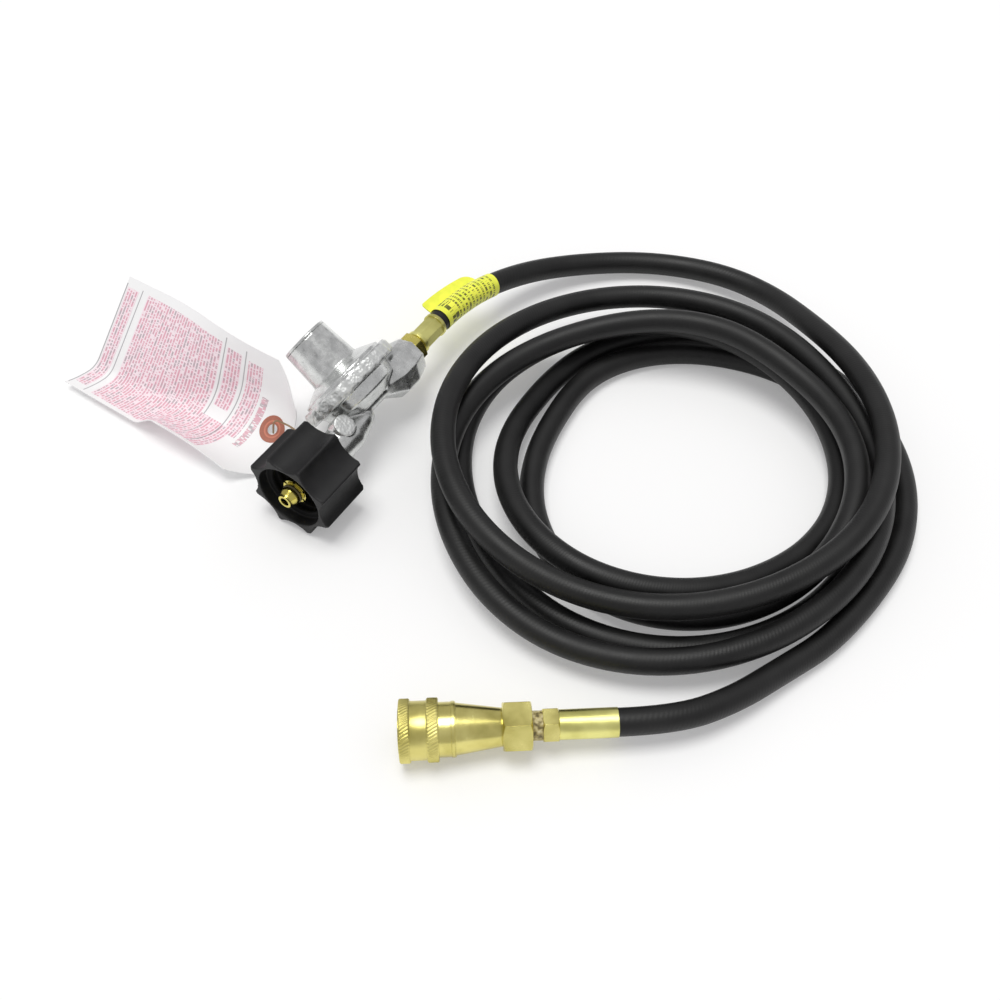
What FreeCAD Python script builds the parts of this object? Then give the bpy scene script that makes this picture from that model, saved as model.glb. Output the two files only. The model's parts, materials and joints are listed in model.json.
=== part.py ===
import FreeCAD, Part
import math
import os
import re

import Sketcher

# A propane regulator with its coiled hose, as it lies on a floor at z = 0.
# X is to the right and Y away from the side that the coil and the coupler are seen from.
# Sizes are in millimetres and angles in degrees.

SIZES = {
    # Where the three straight lines of fittings lie
    "shift_x": 143.8,
    "shift_y": -53.7,
    "gas_x": -70.1,
    "gas_y": 45.5,
    "gas_height": 25.5,
    "gas_heading": 58.0,
    "tower_roll": 34.0,
    "outlet_rise": 7.8,
    "coupler_x": 55.1,
    "coupler_y": -148.0,
    "coupler_heading": 2.7,
    "running_gap": 0.05,
    "clear_gap": 0.3,
    # Cylinder nut
    "nut_front": -77.3,
    "nut_length": 33.3,
    "nut_tip_radius": 26.3,
    "nut_edge": 1.2,
    "nut_mouth_radius": 19.4,
    "nut_mouth_depth": 6.5,
    "nut_bore_radius": 16.0,
    "thread_radius": 16.9,
    "thread_pitch": 5.08,
    "thread_crest": 1.9,
    "thread_flank": 0.5,
    "nut_thread_turns": 3.0,
    "nut_back_wall": 5.3,
    "nut_step_radius": 14.0,
    "nut_lobes": 8.0,
    "flute_radius": 14.5,
    "flute_reach": 35.4,
    "nut_turn": 10.3,
    # Nipple
    "nose_tip_radius": 3.9,
    "nose_radius": 5.6,
    "shoulder_radius": 7.3,
    "relief_radius": 6.8,
    "neck_radius": 6.2,
    "collar_radius": 11.5,
    "shank_radius": 8.5,
    "inlet_thread_radius": 7.0,
    "nipple_bore": 2.6,
    "poppet_chamber": 3.6,
    "nose_start": -80.5,
    "collar_front": -55.5,
    "collar_back": -52.0,
    "boss_face": -42.9,
    "nipple_end": -34.6,
    "nose_cone_start": -79.3,
    "nose_cone_end": -76.0,
    "seal_groove_half": 1.0,
    "shoulder_start": -71.9,
    "relief_start": -62.0,
    "land_start": -61.2,
    "shoulder_end": -58.0,
    "slot_count": 6.0,
    "slot_width": 1.7,
    "slot_floor": 5.9,
    "slot_end": -66.0,
    "seal_groove_radius": 4.6,
    "inlet_seal_reach": 5.3,
    "inlet_seal_wire": 0.7,
    "inlet_seal_place": -73.7,
    "bushing_radius": 12.8,
    "poppet_radius": 3.45,
    "poppet_front": -60.0,
    "poppet_length": 6.0,
    "poppet_chamfer": 1.2,
    "check_spring_end": -44.0,
    # Regulator casting
    "rim_radius": 30.6,
    "rim_bottom": 15.4,
    "rim_seat": 18.2,
    "rim_top": 23.8,
    "lip_reach": 27.6,
    "bowl_radius": 24.5,
    "bowl_side_radius": 22.5,
    "bowl_side": 8.0,
    "bowl_foot_radius": 13.0,
    "bowl_foot": 3.0,
    "chamber_radius": 22.0,
    "chamber_floor": 11.0,
    "pipe_radius": 6.2,
    "pipe_rise": 5.6,
    "pipe_start": -14.0,
    "inlet_boss_radius": 10.0,
    "inlet_boss_end": -23.0,
    "inlet_waist_radius": 6.2,
    "inlet_waist": -10.0,
    "inlet_tip_radius": 3.5,
    "inlet_tip": -4.0,
    "side_boss_x": -27.6,
    "side_boss_z": 5.5,
    "side_boss_radius": 6.3,
    "side_boss_reach": 11.0,
    "outlet_boss_rise": 6.2,
    "outlet_boss_front": 11.0,
    "outlet_boss_root": 14.0,
    "outlet_swell_start": 22.0,
    "outlet_swell_end": 32.0,
    "outlet_boss_width": 27.5,
    "outlet_boss_face": 21.5,
    "outlet_boss_end": 43.0,
    "outlet_thread_radius": 6.2,
    "outlet_thread_start": 30.0,
    "outlet_passage_radius": 4.6,
    "pocket_front": -18.0,
    "pocket_back": 16.0,
    "pocket_half_width": 2.6,
    "pocket_floor": -4.4,
    "pocket_step": -10.8,
    "pocket_shelf": 3.4,
    "knob_count": 24.0,
    "knob_radius": 5.5,
    "knob_reach": 26.0,
    "knob_inset": 1.3,
    "orifice_front": -26.0,
    "orifice_step": -19.0,
    "orifice_radius": 3.6,
    "orifice_bore": 1.2,
    "orifice_nose_radius": 2.2,
    "bore_overrun": 1.0,
    # Working parts of the regulator
    "lever_pivot_x": -13.0,
    "lever_pivot_z": -2.4,
    "lever_eye_radius": 1.7,
    "lever_width": 3.2,
    "lever_thickness": 1.6,
    "lever_top": 12.2,
    "lever_reach": 1.5,
    "lever_pin_radius": 0.9,
    "lever_pin_half_length": 5.0,
    "disc_radius": 2.2,
    "disc_front": -17.8,
    "disc_back": -15.0,
    "diaphragm_thickness": 0.7,
    "plate_radius": 17.0,
    "plate_thickness": 1.2,
    "stem_radius": 2.2,
    "stem_bottom": 12.5,
    "spring_outer_radius": 9.6,
    "spring_inner_radius": 7.6,
    "spring_top": 42.5,
    "seat_thickness": 1.5,
    "seat_radius": 10.4,
    "adjuster_gap": 0.1,
    "adjuster_radius": 11.2,
    "adjuster_length": 4.5,
    "adjuster_floor": 1.5,
    "adjuster_socket": 8.0,
    # Bonnet
    "bonnet_radius": 29.0,
    "bonnet_flange": 3.5,
    "bonnet_cavity": 3.2,
    "bonnet_shoulder": 27.0,
    "bonnet_cone_start": 25.2,
    "bonnet_cone_end": 30.0,
    "tower_radius": 14.3,
    "tower_foot_radius": 15.6,
    "tower_foot_end": 51.0,
    "tower_root_radius": 17.0,
    "tower_bore": 11.3,
    "tower_top": 53.0,
    "cap_thickness": 1.6,
    "cap_inset": 0.2,
    "cap_edge": 0.6,
    "cap_plug_length": 3.0,
    "vent_y": 18.8,
    "vent_radius": 5.6,
    "vent_hole": 3.0,
    "vent_top": 33.0,
    "screen_thickness": 0.8,
    # Outlet fitting and hose
    "outlet_hex": 17.0,
    "outlet_hex_end": 49.5,
    "outlet_neck": 5.6,
    "outlet_neck_end": 51.5,
    "hexagon_bite": 1.0,
    "barb_radius": 3.3,
    "barb_bore": 2.2,
    "crimp_radius": 7.3,
    "crimp_width": 12.9,
    "crimp_margin": 2.5,
    "crimp_edge": 0.5,
    "hose_start": 72.3,
    "hose_radius": 6.75,
    "label_start": 3.0,
    "label_end": 53.0,
    "label_gap": 0.15,
    "label_thickness": 0.35,
    "label_overrun": 1.0,
    "flag_height": 7.2,
    "flag_lift": 0.3,
    # Hang tag
    "tag_x": -255.0,
    "tag_y": 91.0,
    "tag_heading": -37.0,
    "tag_length": 140.0,
    "tag_thickness": 0.4,
    "tag_rest": 0.3,
    "tag_flat": 24.0,
    "tag_bend_radius": 32.0,
    "tag_bend": 70.0,
    "tag_rise": 20.0,
    "tag_corner": 13.0,
    "tag_hole_inset": 14.0,
    "tag_hole_across": 42.0,
    "tag_hole_radius": 3.2,
    "patch_radius": 8.2,
    "patch_thickness": 0.25,
    "tag_cutter": 40.0,
    "tie_radius": 0.55,
    "tie_loop": 10.9,
    "tie_place": -41.6,
    # Coupler, measured from the hose's end towards its mouth
    "coupler_ferrule_radius": 7.1,
    "coupler_ferrule_end": 27.7,
    "coupler_stem_start": 3.0,
    "coupler_small_hex": 15.2,
    "coupler_small_hex_end": 35.3,
    "coupler_thread_radius": 6.4,
    "coupler_thread_end": 47.0,
    "sealant_radius": 6.95,
    "body_hex": 22.4,
    "body_hex_start": 40.3,
    "body_hex_end": 54.0,
    "body_waist_radius": 8.95,
    "body_shoulder_radius": 12.2,
    "body_shoulder": 75.7,
    "ring_start": 76.2,
    "ring_end": 77.7,
    "ring_radius": 13.1,
    "ring_groove_radius": 11.6,
    "body_tube_radius": 12.8,
    "body_step": 84.5,
    "body_nose_radius": 11.0,
    "body_end": 102.4,
    "valve_chamber_radius": 6.6,
    "valve_chamber_start": 60.0,
    "valve_chamber_end": 80.0,
    "valve_throat_radius": 4.6,
    "socket_start": 82.0,
    "socket_radius": 8.4,
    "socket_seal_start": 85.0,
    "socket_seal_end": 87.4,
    "socket_groove_radius": 9.6,
    "socket_chamfer": 0.8,
    "ball_place": 97.5,
    "ball_reach": 9.35,
    "ball_radius": 1.6,
    "ball_count": 6.0,
    "snap_start": 101.0,
    "snap_end": 101.8,
    "snap_groove_radius": 10.4,
    "snap_radius": 11.8,
    "sleeve_start": 83.7,
    "sleeve_end": 102.0,
    "sleeve_band_radius": 15.0,
    "sleeve_waist_radius": 13.9,
    "sleeve_edge": 0.5,
    "rear_band_end": 89.1,
    "front_band_start": 97.0,
    "sleeve_land": 94.5,
    "sleeve_cone_start": 97.2,
    "sleeve_cone_end_radius": 12.7,
    "socket_seal_wire": 0.85,
    "socket_seal_reach": 8.72,
    "coupler_poppet_head": 6.0,
    "coupler_poppet_front": 79.9,
    "coupler_poppet_back": 76.5,
    "coupler_poppet_nose": 84.2,
    "coupler_poppet_nose_radius": 4.0,
    "coupler_poppet_stem": 2.0,
    "coupler_poppet_end": 62.0,
    "guide_end": 64.0,
    "guide_window": 1.5,
    "guide_window_reach": 4.3,
    "poppet_spring_inner": 3.0,
    "poppet_spring_outer": 5.4,
    "coupler_bore": 4.5,
    "coupler_bore_start": 48.0,
    "ball_hole_start": 7.0,
    "ball_hole_length": 5.0,
    # Coil
    "coil_x": 94.0,
    "coil_y": 25.0,
}

# The coil, clockwise from above, one row for each quarter turn from its far right:
# reach from the coil's middle, height of the hose's middle, and how far it heads out and up there.
QUARTERS = [
    (128.0, 23.0, -21, 15),
    (115.0, 35.0, -2, -4),
    (124.0, 30.0, 8, 10),
    (119.5, 29.0, 2, -10),
    (109.0, 21.5, -12, 2),
    (124.5, 21.5, 8, 1),
    (140.5, 16.0, -8, 5),
    (96.5, 28.0, -21, 7),
    (82.3, 32.5, 6, -13),
    (107.7, 22.0, 6, -14),
    (95.0, 6.75, -19, 0),
    (72.2, 6.75, 15, 0),
    (98.3, 6.75, 16, 0),
    (118.0, 6.75, 7, 0),
    (122.6, 6.75, -10, 0),
    (106.5, 15.5, -16, 10),
    (89.8, 19.2, 5, -12),
    (95.0, 11.0, 0, 6),
    (102.0, 23.5, -6, 0),
    (87.6, 6.75, 10, 0),
    (114.4, 6.75, 10, 0),
    (133.3, 6.75, 2, 0),
]
COIL_START_ANGLE = 45.0

# Points of the hose from the regulator to the coil, and from the coil to the coupler,
# between the ends that the fittings and the coil give
REGULATOR_ROUTE = [
    (11.0, 169.0, 18.5),
    (52.0, 188.0, 10.5),
    (97.0, 192.5, 8.0),
    (139.5, 179.0, 10.0),
]
COUPLER_ROUTE = [
    (139.0, -114.0, 7.5),
    (110.5, -134.6, 12.0),
]
REGULATOR_LEAD = 26.0
COIL_LEAD_IN = 30.0
COIL_LEAD_OUT = 24.0
COUPLER_LEAD = 27.0
ARC_SHARE = 0.45
LEAST_GAP = 0.4
GAP_STEP = 3.0

# The wire tie from the ring round the inlet to under the tag's hole
TIE_ROUTE = [
    (-100.56, 15.49, 21.0),
    (-113.0, 33.0, 22.0),
    (-127.7, 46.4, 16.0),
    (-129.65, 47.97, 2.5),
]

# The corners of each hexagon, turned off over this share of its width
CHAMFER_SHARE = 0.29

doc = FreeCAD.newDocument("propane_regulator_hose")
sheet = doc.addObject("Spreadsheet::Sheet", "sizes")
for row, (alias, size) in enumerate(SIZES.items(), start=1):
    sheet.set("A%d" % row, alias)
    sheet.set("B%d" % row, str(size))
    sheet.setAlias("B%d" % row, alias)
doc.recompute()

V = FreeCAD.Vector
UP = V(0, 0, 1)
ORIGIN_POINT = -1
START, END, CENTRE = 1, 2, 3


def rule(text):
    """An expression on the sheet's cells, from plain alias names."""
    return re.sub(r"[a-z]\w*", r"sizes.\g<0>", text)


def size(text):
    """The value of a sum of products of cells and numbers."""
    total = 0.0
    for sign, product in re.findall(r"([+-]?)([^+-]+)", text):
        value = 1.0
        for step, factor in re.findall(r"([*/]?) *([\w.]+)", product):
            number = float(sheet.get(factor)) if factor in SIZES else float(factor)
            value = value / number if step == "/" else value * number
        total += -value if sign == "-" else value
    return total


def heading(angle):
    return V(math.cos(math.radians(angle)), math.sin(math.radians(angle)), 0)


def frame(base, x_axis, z_axis):
    """A placement with the given place, X axis and Z axis."""
    return FreeCAD.Placement(base, FreeCAD.Rotation(x_axis, z_axis.cross(x_axis), z_axis, "ZXY"))


shift = V(size("shift_x"), size("shift_y"), 0)
gas_point = V(size("gas_x"), size("gas_y"), size("gas_height")) + shift
flow = heading(size("gas_heading"))
sideways = heading(size("gas_heading") + 90)
roll = math.radians(size("tower_roll"))
tower = UP * math.sin(roll) + sideways * math.cos(roll)
outlet_point = gas_point + tower * size("outlet_rise")
coupler_point = V(size("coupler_x"), size("coupler_y"), size("sleeve_band_radius")) + shift
coupler_line = heading(size("coupler_heading") + 180)
tag_line = heading(size("tag_heading"))
tag_across = heading(size("tag_heading") + 90)

GAS = frame(gas_point, tower, flow)
TOWER = frame(gas_point, flow, tower)
OUTLET = frame(outlet_point, tower, flow)
COUPLER = frame(coupler_point, UP, coupler_line)
TAG = frame(V(size("tag_x"), size("tag_y"), 0) + shift, tag_across, tag_line)


def new_body(label, placement):
    body = doc.addObject("PartDesign::Body", label)
    body.Label = label
    body.Placement = placement
    return body


def plane_of(body, role):
    return next(item for item in body.Origin.OriginFeatures if item.Role == role)


def new_sketch(body, name, role, height=None):
    """A sketch on one of the body's origin planes, moved along the plane's normal by a cell."""
    sketch = body.newObject("Sketcher::SketchObject", name)
    sketch.AttachmentSupport = [(plane_of(body, role), "")]
    sketch.MapMode = "FlatFace"
    if height:
        sketch.setExpression("AttachmentOffset.Base.z", rule(height))
    return sketch


def bind(sketch, kind, where, text):
    """One dimension of a sketch, tied to the sheet."""
    index = sketch.addConstraint(Sketcher.Constraint(kind, *where, size(text)))
    if re.search(r"[a-z]", text):
        sketch.setExpression("Constraints[%d]" % index, rule(text))


def add_outline(sketch, corners):
    """A closed outline through corners given as two expressions each."""
    first = sketch.GeometryCount
    places = [V(size(x), size(y), 0) for x, y in corners]
    count = len(places)
    for index, place in enumerate(places):
        sketch.addGeometry(Part.LineSegment(place, places[(index + 1) % count]))
    for index in range(count):
        following = first + (index + 1) % count
        sketch.addConstraint(Sketcher.Constraint("Coincident", first + index, END, following, START))
    for index, (x, y) in enumerate(corners):
        bind(sketch, "DistanceX", (ORIGIN_POINT, START, first + index, START), x)
        bind(sketch, "DistanceY", (ORIGIN_POINT, START, first + index, START), y)


def add_circle(sketch, x, y, radius):
    place = V(size(x), size(y), 0)
    index = sketch.addGeometry(Part.Circle(place, V(0, 0, 1), size(radius)))
    bind(sketch, "DistanceX", (ORIGIN_POINT, START, index, CENTRE), x)
    bind(sketch, "DistanceY", (ORIGIN_POINT, START, index, CENTRE), y)
    bind(sketch, "Radius", (index,), radius)


def add_regular(sketch, sides, width, rise="0"):
    """A regular outline with its flats the given width apart, its middle up the second axis."""
    corner = size(width) / 2 / math.cos(math.pi / sides)
    share = "%s / 2 / cos(180 / %d)" % (rule(width), sides)
    first = sketch.GeometryCount
    places = []
    for index in range(sides):
        angle = 2 * math.pi * (index + 0.5) / sides
        places.append(V(corner * math.cos(angle), size(rise) + corner * math.sin(angle), 0))
    for index, place in enumerate(places):
        sketch.addGeometry(Part.LineSegment(place, places[(index + 1) % sides]))
    for index in range(sides):
        following = first + (index + 1) % sides
        sketch.addConstraint(Sketcher.Constraint("Coincident", first + index, END, following, START))
    for index, place in enumerate(places):
        angle = 360.0 * (index + 0.5) / sides
        across = sketch.addConstraint(
            Sketcher.Constraint("DistanceX", ORIGIN_POINT, START, first + index, START, place.x))
        sketch.setExpression("Constraints[%d]" % across, "%s * cos(%s)" % (share, angle))
        up = sketch.addConstraint(
            Sketcher.Constraint("DistanceY", ORIGIN_POINT, START, first + index, START, place.y))
        sketch.setExpression("Constraints[%d]" % up, "%s + %s * sin(%s)" % (rule(rise), share, angle))


def turn(body, name, corners, groove=False):
    """A turned shape about the body's Z axis, or a turned cut, from (radius, height) corners."""
    sketch = new_sketch(body, name + "_profile", "XZ_Plane")
    add_outline(sketch, corners)
    kind = "PartDesign::Groove" if groove else "PartDesign::Revolution"
    feature = body.newObject(kind, name)
    feature.Profile = sketch
    feature.ReferenceAxis = (sketch, ["V_Axis"])
    feature.Angle = 360
    return feature


def pad(body, name, sketch, length):
    feature = body.newObject("PartDesign::Pad", name)
    feature.Profile = sketch
    feature.setExpression("Length", rule(length))
    return feature


def pocket(body, name, sketch, length, reverse=False, both=False):
    feature = body.newObject("PartDesign::Pocket", name)
    feature.Profile = sketch
    feature.setExpression("Length", rule(length))
    feature.Reversed = reverse
    feature.Midplane = both
    return feature


def blend(body, name, sketches):
    """A form that goes straight from each outline to the next."""
    feature = body.newObject("PartDesign::AdditiveLoft", name)
    feature.Profile = sketches[0]
    feature.Sections = sketches[1:]
    feature.Ruled = True
    return feature


def around(body, name, feature, count):
    """The feature repeated evenly about the body's Z axis."""
    pattern = body.newObject("PartDesign::PolarPattern", name)
    pattern.Originals = [feature]
    pattern.Axis = (plane_of(body, "Z_Axis"), [""])
    pattern.Angle = 360
    pattern.setExpression("Occurrences", rule(count))
    body.Tip = pattern
    return pattern


def turned_part(label, placement, corners):
    body = new_body(label, placement)
    turn(body, label + "_turn", corners)
    return body


def ring_part(label, placement, inner, outer, bottom, top):
    return turned_part(label, placement, [(inner, bottom), (outer, bottom), (outer, top), (inner, top)])


def round_seal(label, placement, reach, place, wire):
    """A seal of round section about the body's Z axis."""
    body = new_body(label, placement)
    sketch = new_sketch(body, label + "_section", "XZ_Plane")
    add_circle(sketch, reach, place, wire)
    feature = body.newObject("PartDesign::Revolution", label + "_turn")
    feature.Profile = sketch
    feature.ReferenceAxis = (sketch, ["V_Axis"])
    feature.Angle = 360


def inlet_parts():
    """The cylinder nut, the nipple that it spins on, and what the nipple holds."""
    nut = new_body("inlet_nut", GAS)
    front, back = "nut_front", "nut_front + nut_length"
    thread_start = "nut_front + nut_mouth_depth"
    wall = "nut_front + nut_length - nut_back_wall"
    turn(nut, "nut_shell", [
        ("nut_mouth_radius", front),
        ("nut_tip_radius - nut_edge", front),
        ("nut_tip_radius", front + " + nut_edge"),
        ("nut_tip_radius", back + " - nut_edge"),
        ("nut_tip_radius - nut_edge", back),
        ("shank_radius + running_gap", back),
        ("shank_radius + running_gap", wall),
        ("nut_step_radius", wall),
        ("nut_step_radius", wall + " - nut_back_wall"),
        ("nut_bore_radius", wall + " - nut_back_wall"),
        ("nut_bore_radius", thread_start),
        ("nut_mouth_radius", thread_start),
    ])
    for index in range(int(size("nut_thread_turns"))):
        root = thread_start + " + thread_crest + thread_pitch * %d" % index
        turn(nut, "nut_thread_%d" % (index + 1), [
            ("nut_bore_radius - running_gap", root),
            ("nut_bore_radius - running_gap", root + " + thread_pitch - thread_crest"),
            ("thread_radius", root + " + thread_pitch - thread_crest - thread_flank"),
            ("thread_radius", root + " + thread_flank"),
        ], groove=True)
    flute_sketch = new_sketch(nut, "nut_flute_outline", "XY_Plane", front + " - nut_edge")
    add_circle(flute_sketch, "flute_reach", "0", "flute_radius")
    flute = pocket(nut, "nut_flute", flute_sketch, "nut_length + 2 * nut_edge", reverse=True)
    around(nut, "nut_flutes", flute, "nut_lobes")
    nut.Placement = GAS.multiply(FreeCAD.Placement(V(), FreeCAD.Rotation(UP, size("nut_turn"))))

    nipple = new_body("inlet_nipple", GAS)
    turn(nipple, "nipple_turn", [
        ("nipple_bore", "nose_start"),
        ("nose_tip_radius", "nose_start"),
        ("nose_tip_radius", "nose_cone_start"),
        ("nose_radius", "nose_cone_end"),
        ("nose_radius", "inlet_seal_place - seal_groove_half"),
        ("seal_groove_radius", "inlet_seal_place - seal_groove_half"),
        ("seal_groove_radius", "inlet_seal_place + seal_groove_half"),
        ("nose_radius", "inlet_seal_place + seal_groove_half"),
        ("nose_radius", "shoulder_start"),
        ("shoulder_radius", "shoulder_start"),
        ("shoulder_radius", "relief_start"),
        ("relief_radius", "relief_start"),
        ("relief_radius", "land_start"),
        ("shoulder_radius", "land_start"),
        ("shoulder_radius", "shoulder_end"),
        ("neck_radius", "shoulder_end"),
        ("neck_radius", "collar_front"),
        ("collar_radius", "collar_front"),
        ("collar_radius", "collar_back"),
        ("shank_radius", "collar_back"),
        ("shank_radius", "boss_face"),
        ("inlet_thread_radius", "boss_face"),
        ("inlet_thread_radius", "nipple_end"),
        ("nipple_bore", "nipple_end"),
        ("nipple_bore", "check_spring_end"),
        ("poppet_chamber", "check_spring_end"),
        ("poppet_chamber", "poppet_front - clear_gap"),
        ("nipple_bore", "poppet_front - clear_gap"),
    ])
    slot_sketch = new_sketch(nipple, "nipple_slot_outline", "XY_Plane", "slot_end")
    add_outline(slot_sketch, [
        ("slot_floor", "0 - slot_width / 2"),
        ("shoulder_radius + 1", "0 - slot_width / 2"),
        ("shoulder_radius + 1", "slot_width / 2"),
        ("slot_floor", "slot_width / 2"),
    ])
    slot = pocket(nipple, "nipple_slot", slot_sketch, "slot_end - shoulder_start")
    around(nipple, "nipple_slots", slot, "slot_count")

    ring_part("thermal_bushing", GAS, "shank_radius", "bushing_radius",
              "collar_back", "nut_front + nut_length - nut_back_wall - clear_gap")
    round_seal("inlet_seal", GAS, "inlet_seal_reach", "inlet_seal_place", "inlet_seal_wire")
    turned_part("check_poppet", GAS, [
        ("0", "poppet_front"),
        ("poppet_radius - poppet_chamfer", "poppet_front"),
        ("poppet_radius", "poppet_front + poppet_chamfer"),
        ("poppet_radius", "poppet_front + poppet_length"),
        ("0", "poppet_front + poppet_length"),
    ])
    ring_part("check_spring", GAS, "nipple_bore", "poppet_radius - running_gap",
              "poppet_front + poppet_length", "check_spring_end")


def casting():
    """The regulator's lower casting: bowl, rim with staked lumps, gas pipe and two bosses."""
    body = new_body("regulator_body", TOWER)
    turn(body, "bowl", [
        ("0", "bowl_foot"),
        ("bowl_foot_radius", "bowl_foot"),
        ("bowl_side_radius", "bowl_side"),
        ("bowl_radius", "rim_bottom"),
        ("rim_radius", "rim_bottom"),
        ("rim_radius", "rim_top"),
        ("0", "rim_top"),
    ])
    knob_sketch = new_sketch(body, "knob_outline", "XY_Plane", "rim_bottom + knob_inset")
    add_circle(knob_sketch, "knob_reach", "0", "knob_radius")
    knob = pad(body, "knob", knob_sketch, "rim_top - rim_bottom - 2 * knob_inset")
    around(body, "knobs", knob, "knob_count")
    boss_sketch = new_sketch(body, "inlet_boss_outline", "YZ_Plane", "boss_face")
    add_circle(boss_sketch, "0", "0", "inlet_boss_radius")
    pad(body, "inlet_boss", boss_sketch, "inlet_boss_end - boss_face")
    rounds = []
    for name, place, radius in (("end", "inlet_boss_end", "inlet_boss_radius"),
                                ("waist", "inlet_waist", "inlet_waist_radius"),
                                ("tip", "inlet_tip", "inlet_tip_radius")):
        rounds.append(new_sketch(body, "inlet_%s_outline" % name, "YZ_Plane", place))
        add_circle(rounds[-1], "0", "0", radius)
    blend(body, "inlet_taper", rounds)
    pipe_sketch = new_sketch(body, "gas_pipe_outline", "YZ_Plane", "pipe_start")
    add_circle(pipe_sketch, "0", "pipe_rise", "pipe_radius")
    pad(body, "gas_pipe", pipe_sketch, "outlet_swell_start - pipe_start")
    side_sketch = new_sketch(body, "side_boss_outline", "XZ_Plane")
    add_circle(side_sketch, "side_boss_x", "side_boss_z", "side_boss_radius")
    pad(body, "side_boss", side_sketch, "side_boss_reach")
    octagons = []
    for name, place, width in (("root", "outlet_boss_front", "outlet_boss_root"),
                               ("swell", "outlet_swell_start", "outlet_boss_width"),
                               ("shoulder", "outlet_swell_end", "outlet_boss_width"),
                               ("face", "outlet_boss_end", "outlet_boss_face")):
        octagons.append(new_sketch(body, "outlet_%s_outline" % name, "YZ_Plane", place))
        add_regular(octagons[-1], 8, width, "outlet_boss_rise")
    blend(body, "outlet_boss", octagons)
    recess_top = "rim_seat + diaphragm_thickness + bonnet_flange + running_gap"
    turn(body, "recess", [
        ("0", "chamber_floor"),
        ("chamber_radius", "chamber_floor"),
        ("chamber_radius", "rim_seat"),
        ("bonnet_radius + running_gap", "rim_seat"),
        ("bonnet_radius + running_gap", recess_top),
        ("lip_reach", recess_top),
        ("lip_reach", "rim_top + clear_gap"),
        ("0", "rim_top + clear_gap"),
    ], groove=True)
    for name, floor, back in (("pivot_pocket", "pocket_floor", "pocket_step"),
                              ("lever_pocket", "pocket_shelf", "pocket_back")):
        pocket_sketch = new_sketch(body, name + "_outline", "XY_Plane", floor)
        add_outline(pocket_sketch, [
            ("pocket_front", "0 - pocket_half_width"),
            (back, "0 - pocket_half_width"),
            (back, "pocket_half_width"),
            ("pocket_front", "pocket_half_width"),
        ])
        pocket(body, name, pocket_sketch, "chamber_floor + clear_gap - (%s)" % floor, reverse=True)
    bores = [
        ("inlet_bore", "boss_face", "nipple_end - boss_face", "inlet_thread_radius", "0"),
        ("orifice_bore_cut", "orifice_front", "pocket_front - orifice_front + bore_overrun",
         "orifice_radius", "0"),
        ("inlet_passage", "nipple_end - bore_overrun", "orifice_front - nipple_end + 2 * bore_overrun",
         "nipple_bore", "0"),
        ("outlet_passage", "pocket_back - 2 * bore_overrun",
         "outlet_boss_end - pocket_back + 2 * bore_overrun", "outlet_passage_radius", "outlet_rise"),
        ("outlet_thread", "outlet_thread_start", "outlet_boss_end - outlet_thread_start + bore_overrun",
         "outlet_thread_radius", "outlet_rise"),
    ]
    for name, start, length, radius, rise in bores:
        bore_sketch = new_sketch(body, name + "_outline", "YZ_Plane", start)
        add_circle(bore_sketch, "0", rise, radius)
        pocket(body, name, bore_sketch, length, reverse=True)
    pin_sketch = new_sketch(body, "pin_hole_outline", "XZ_Plane")
    add_circle(pin_sketch, "lever_pivot_x", "lever_pivot_z", "lever_pin_radius")
    pocket(body, "pin_hole", pin_sketch, "2 * lever_pin_half_length", both=True)


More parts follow.
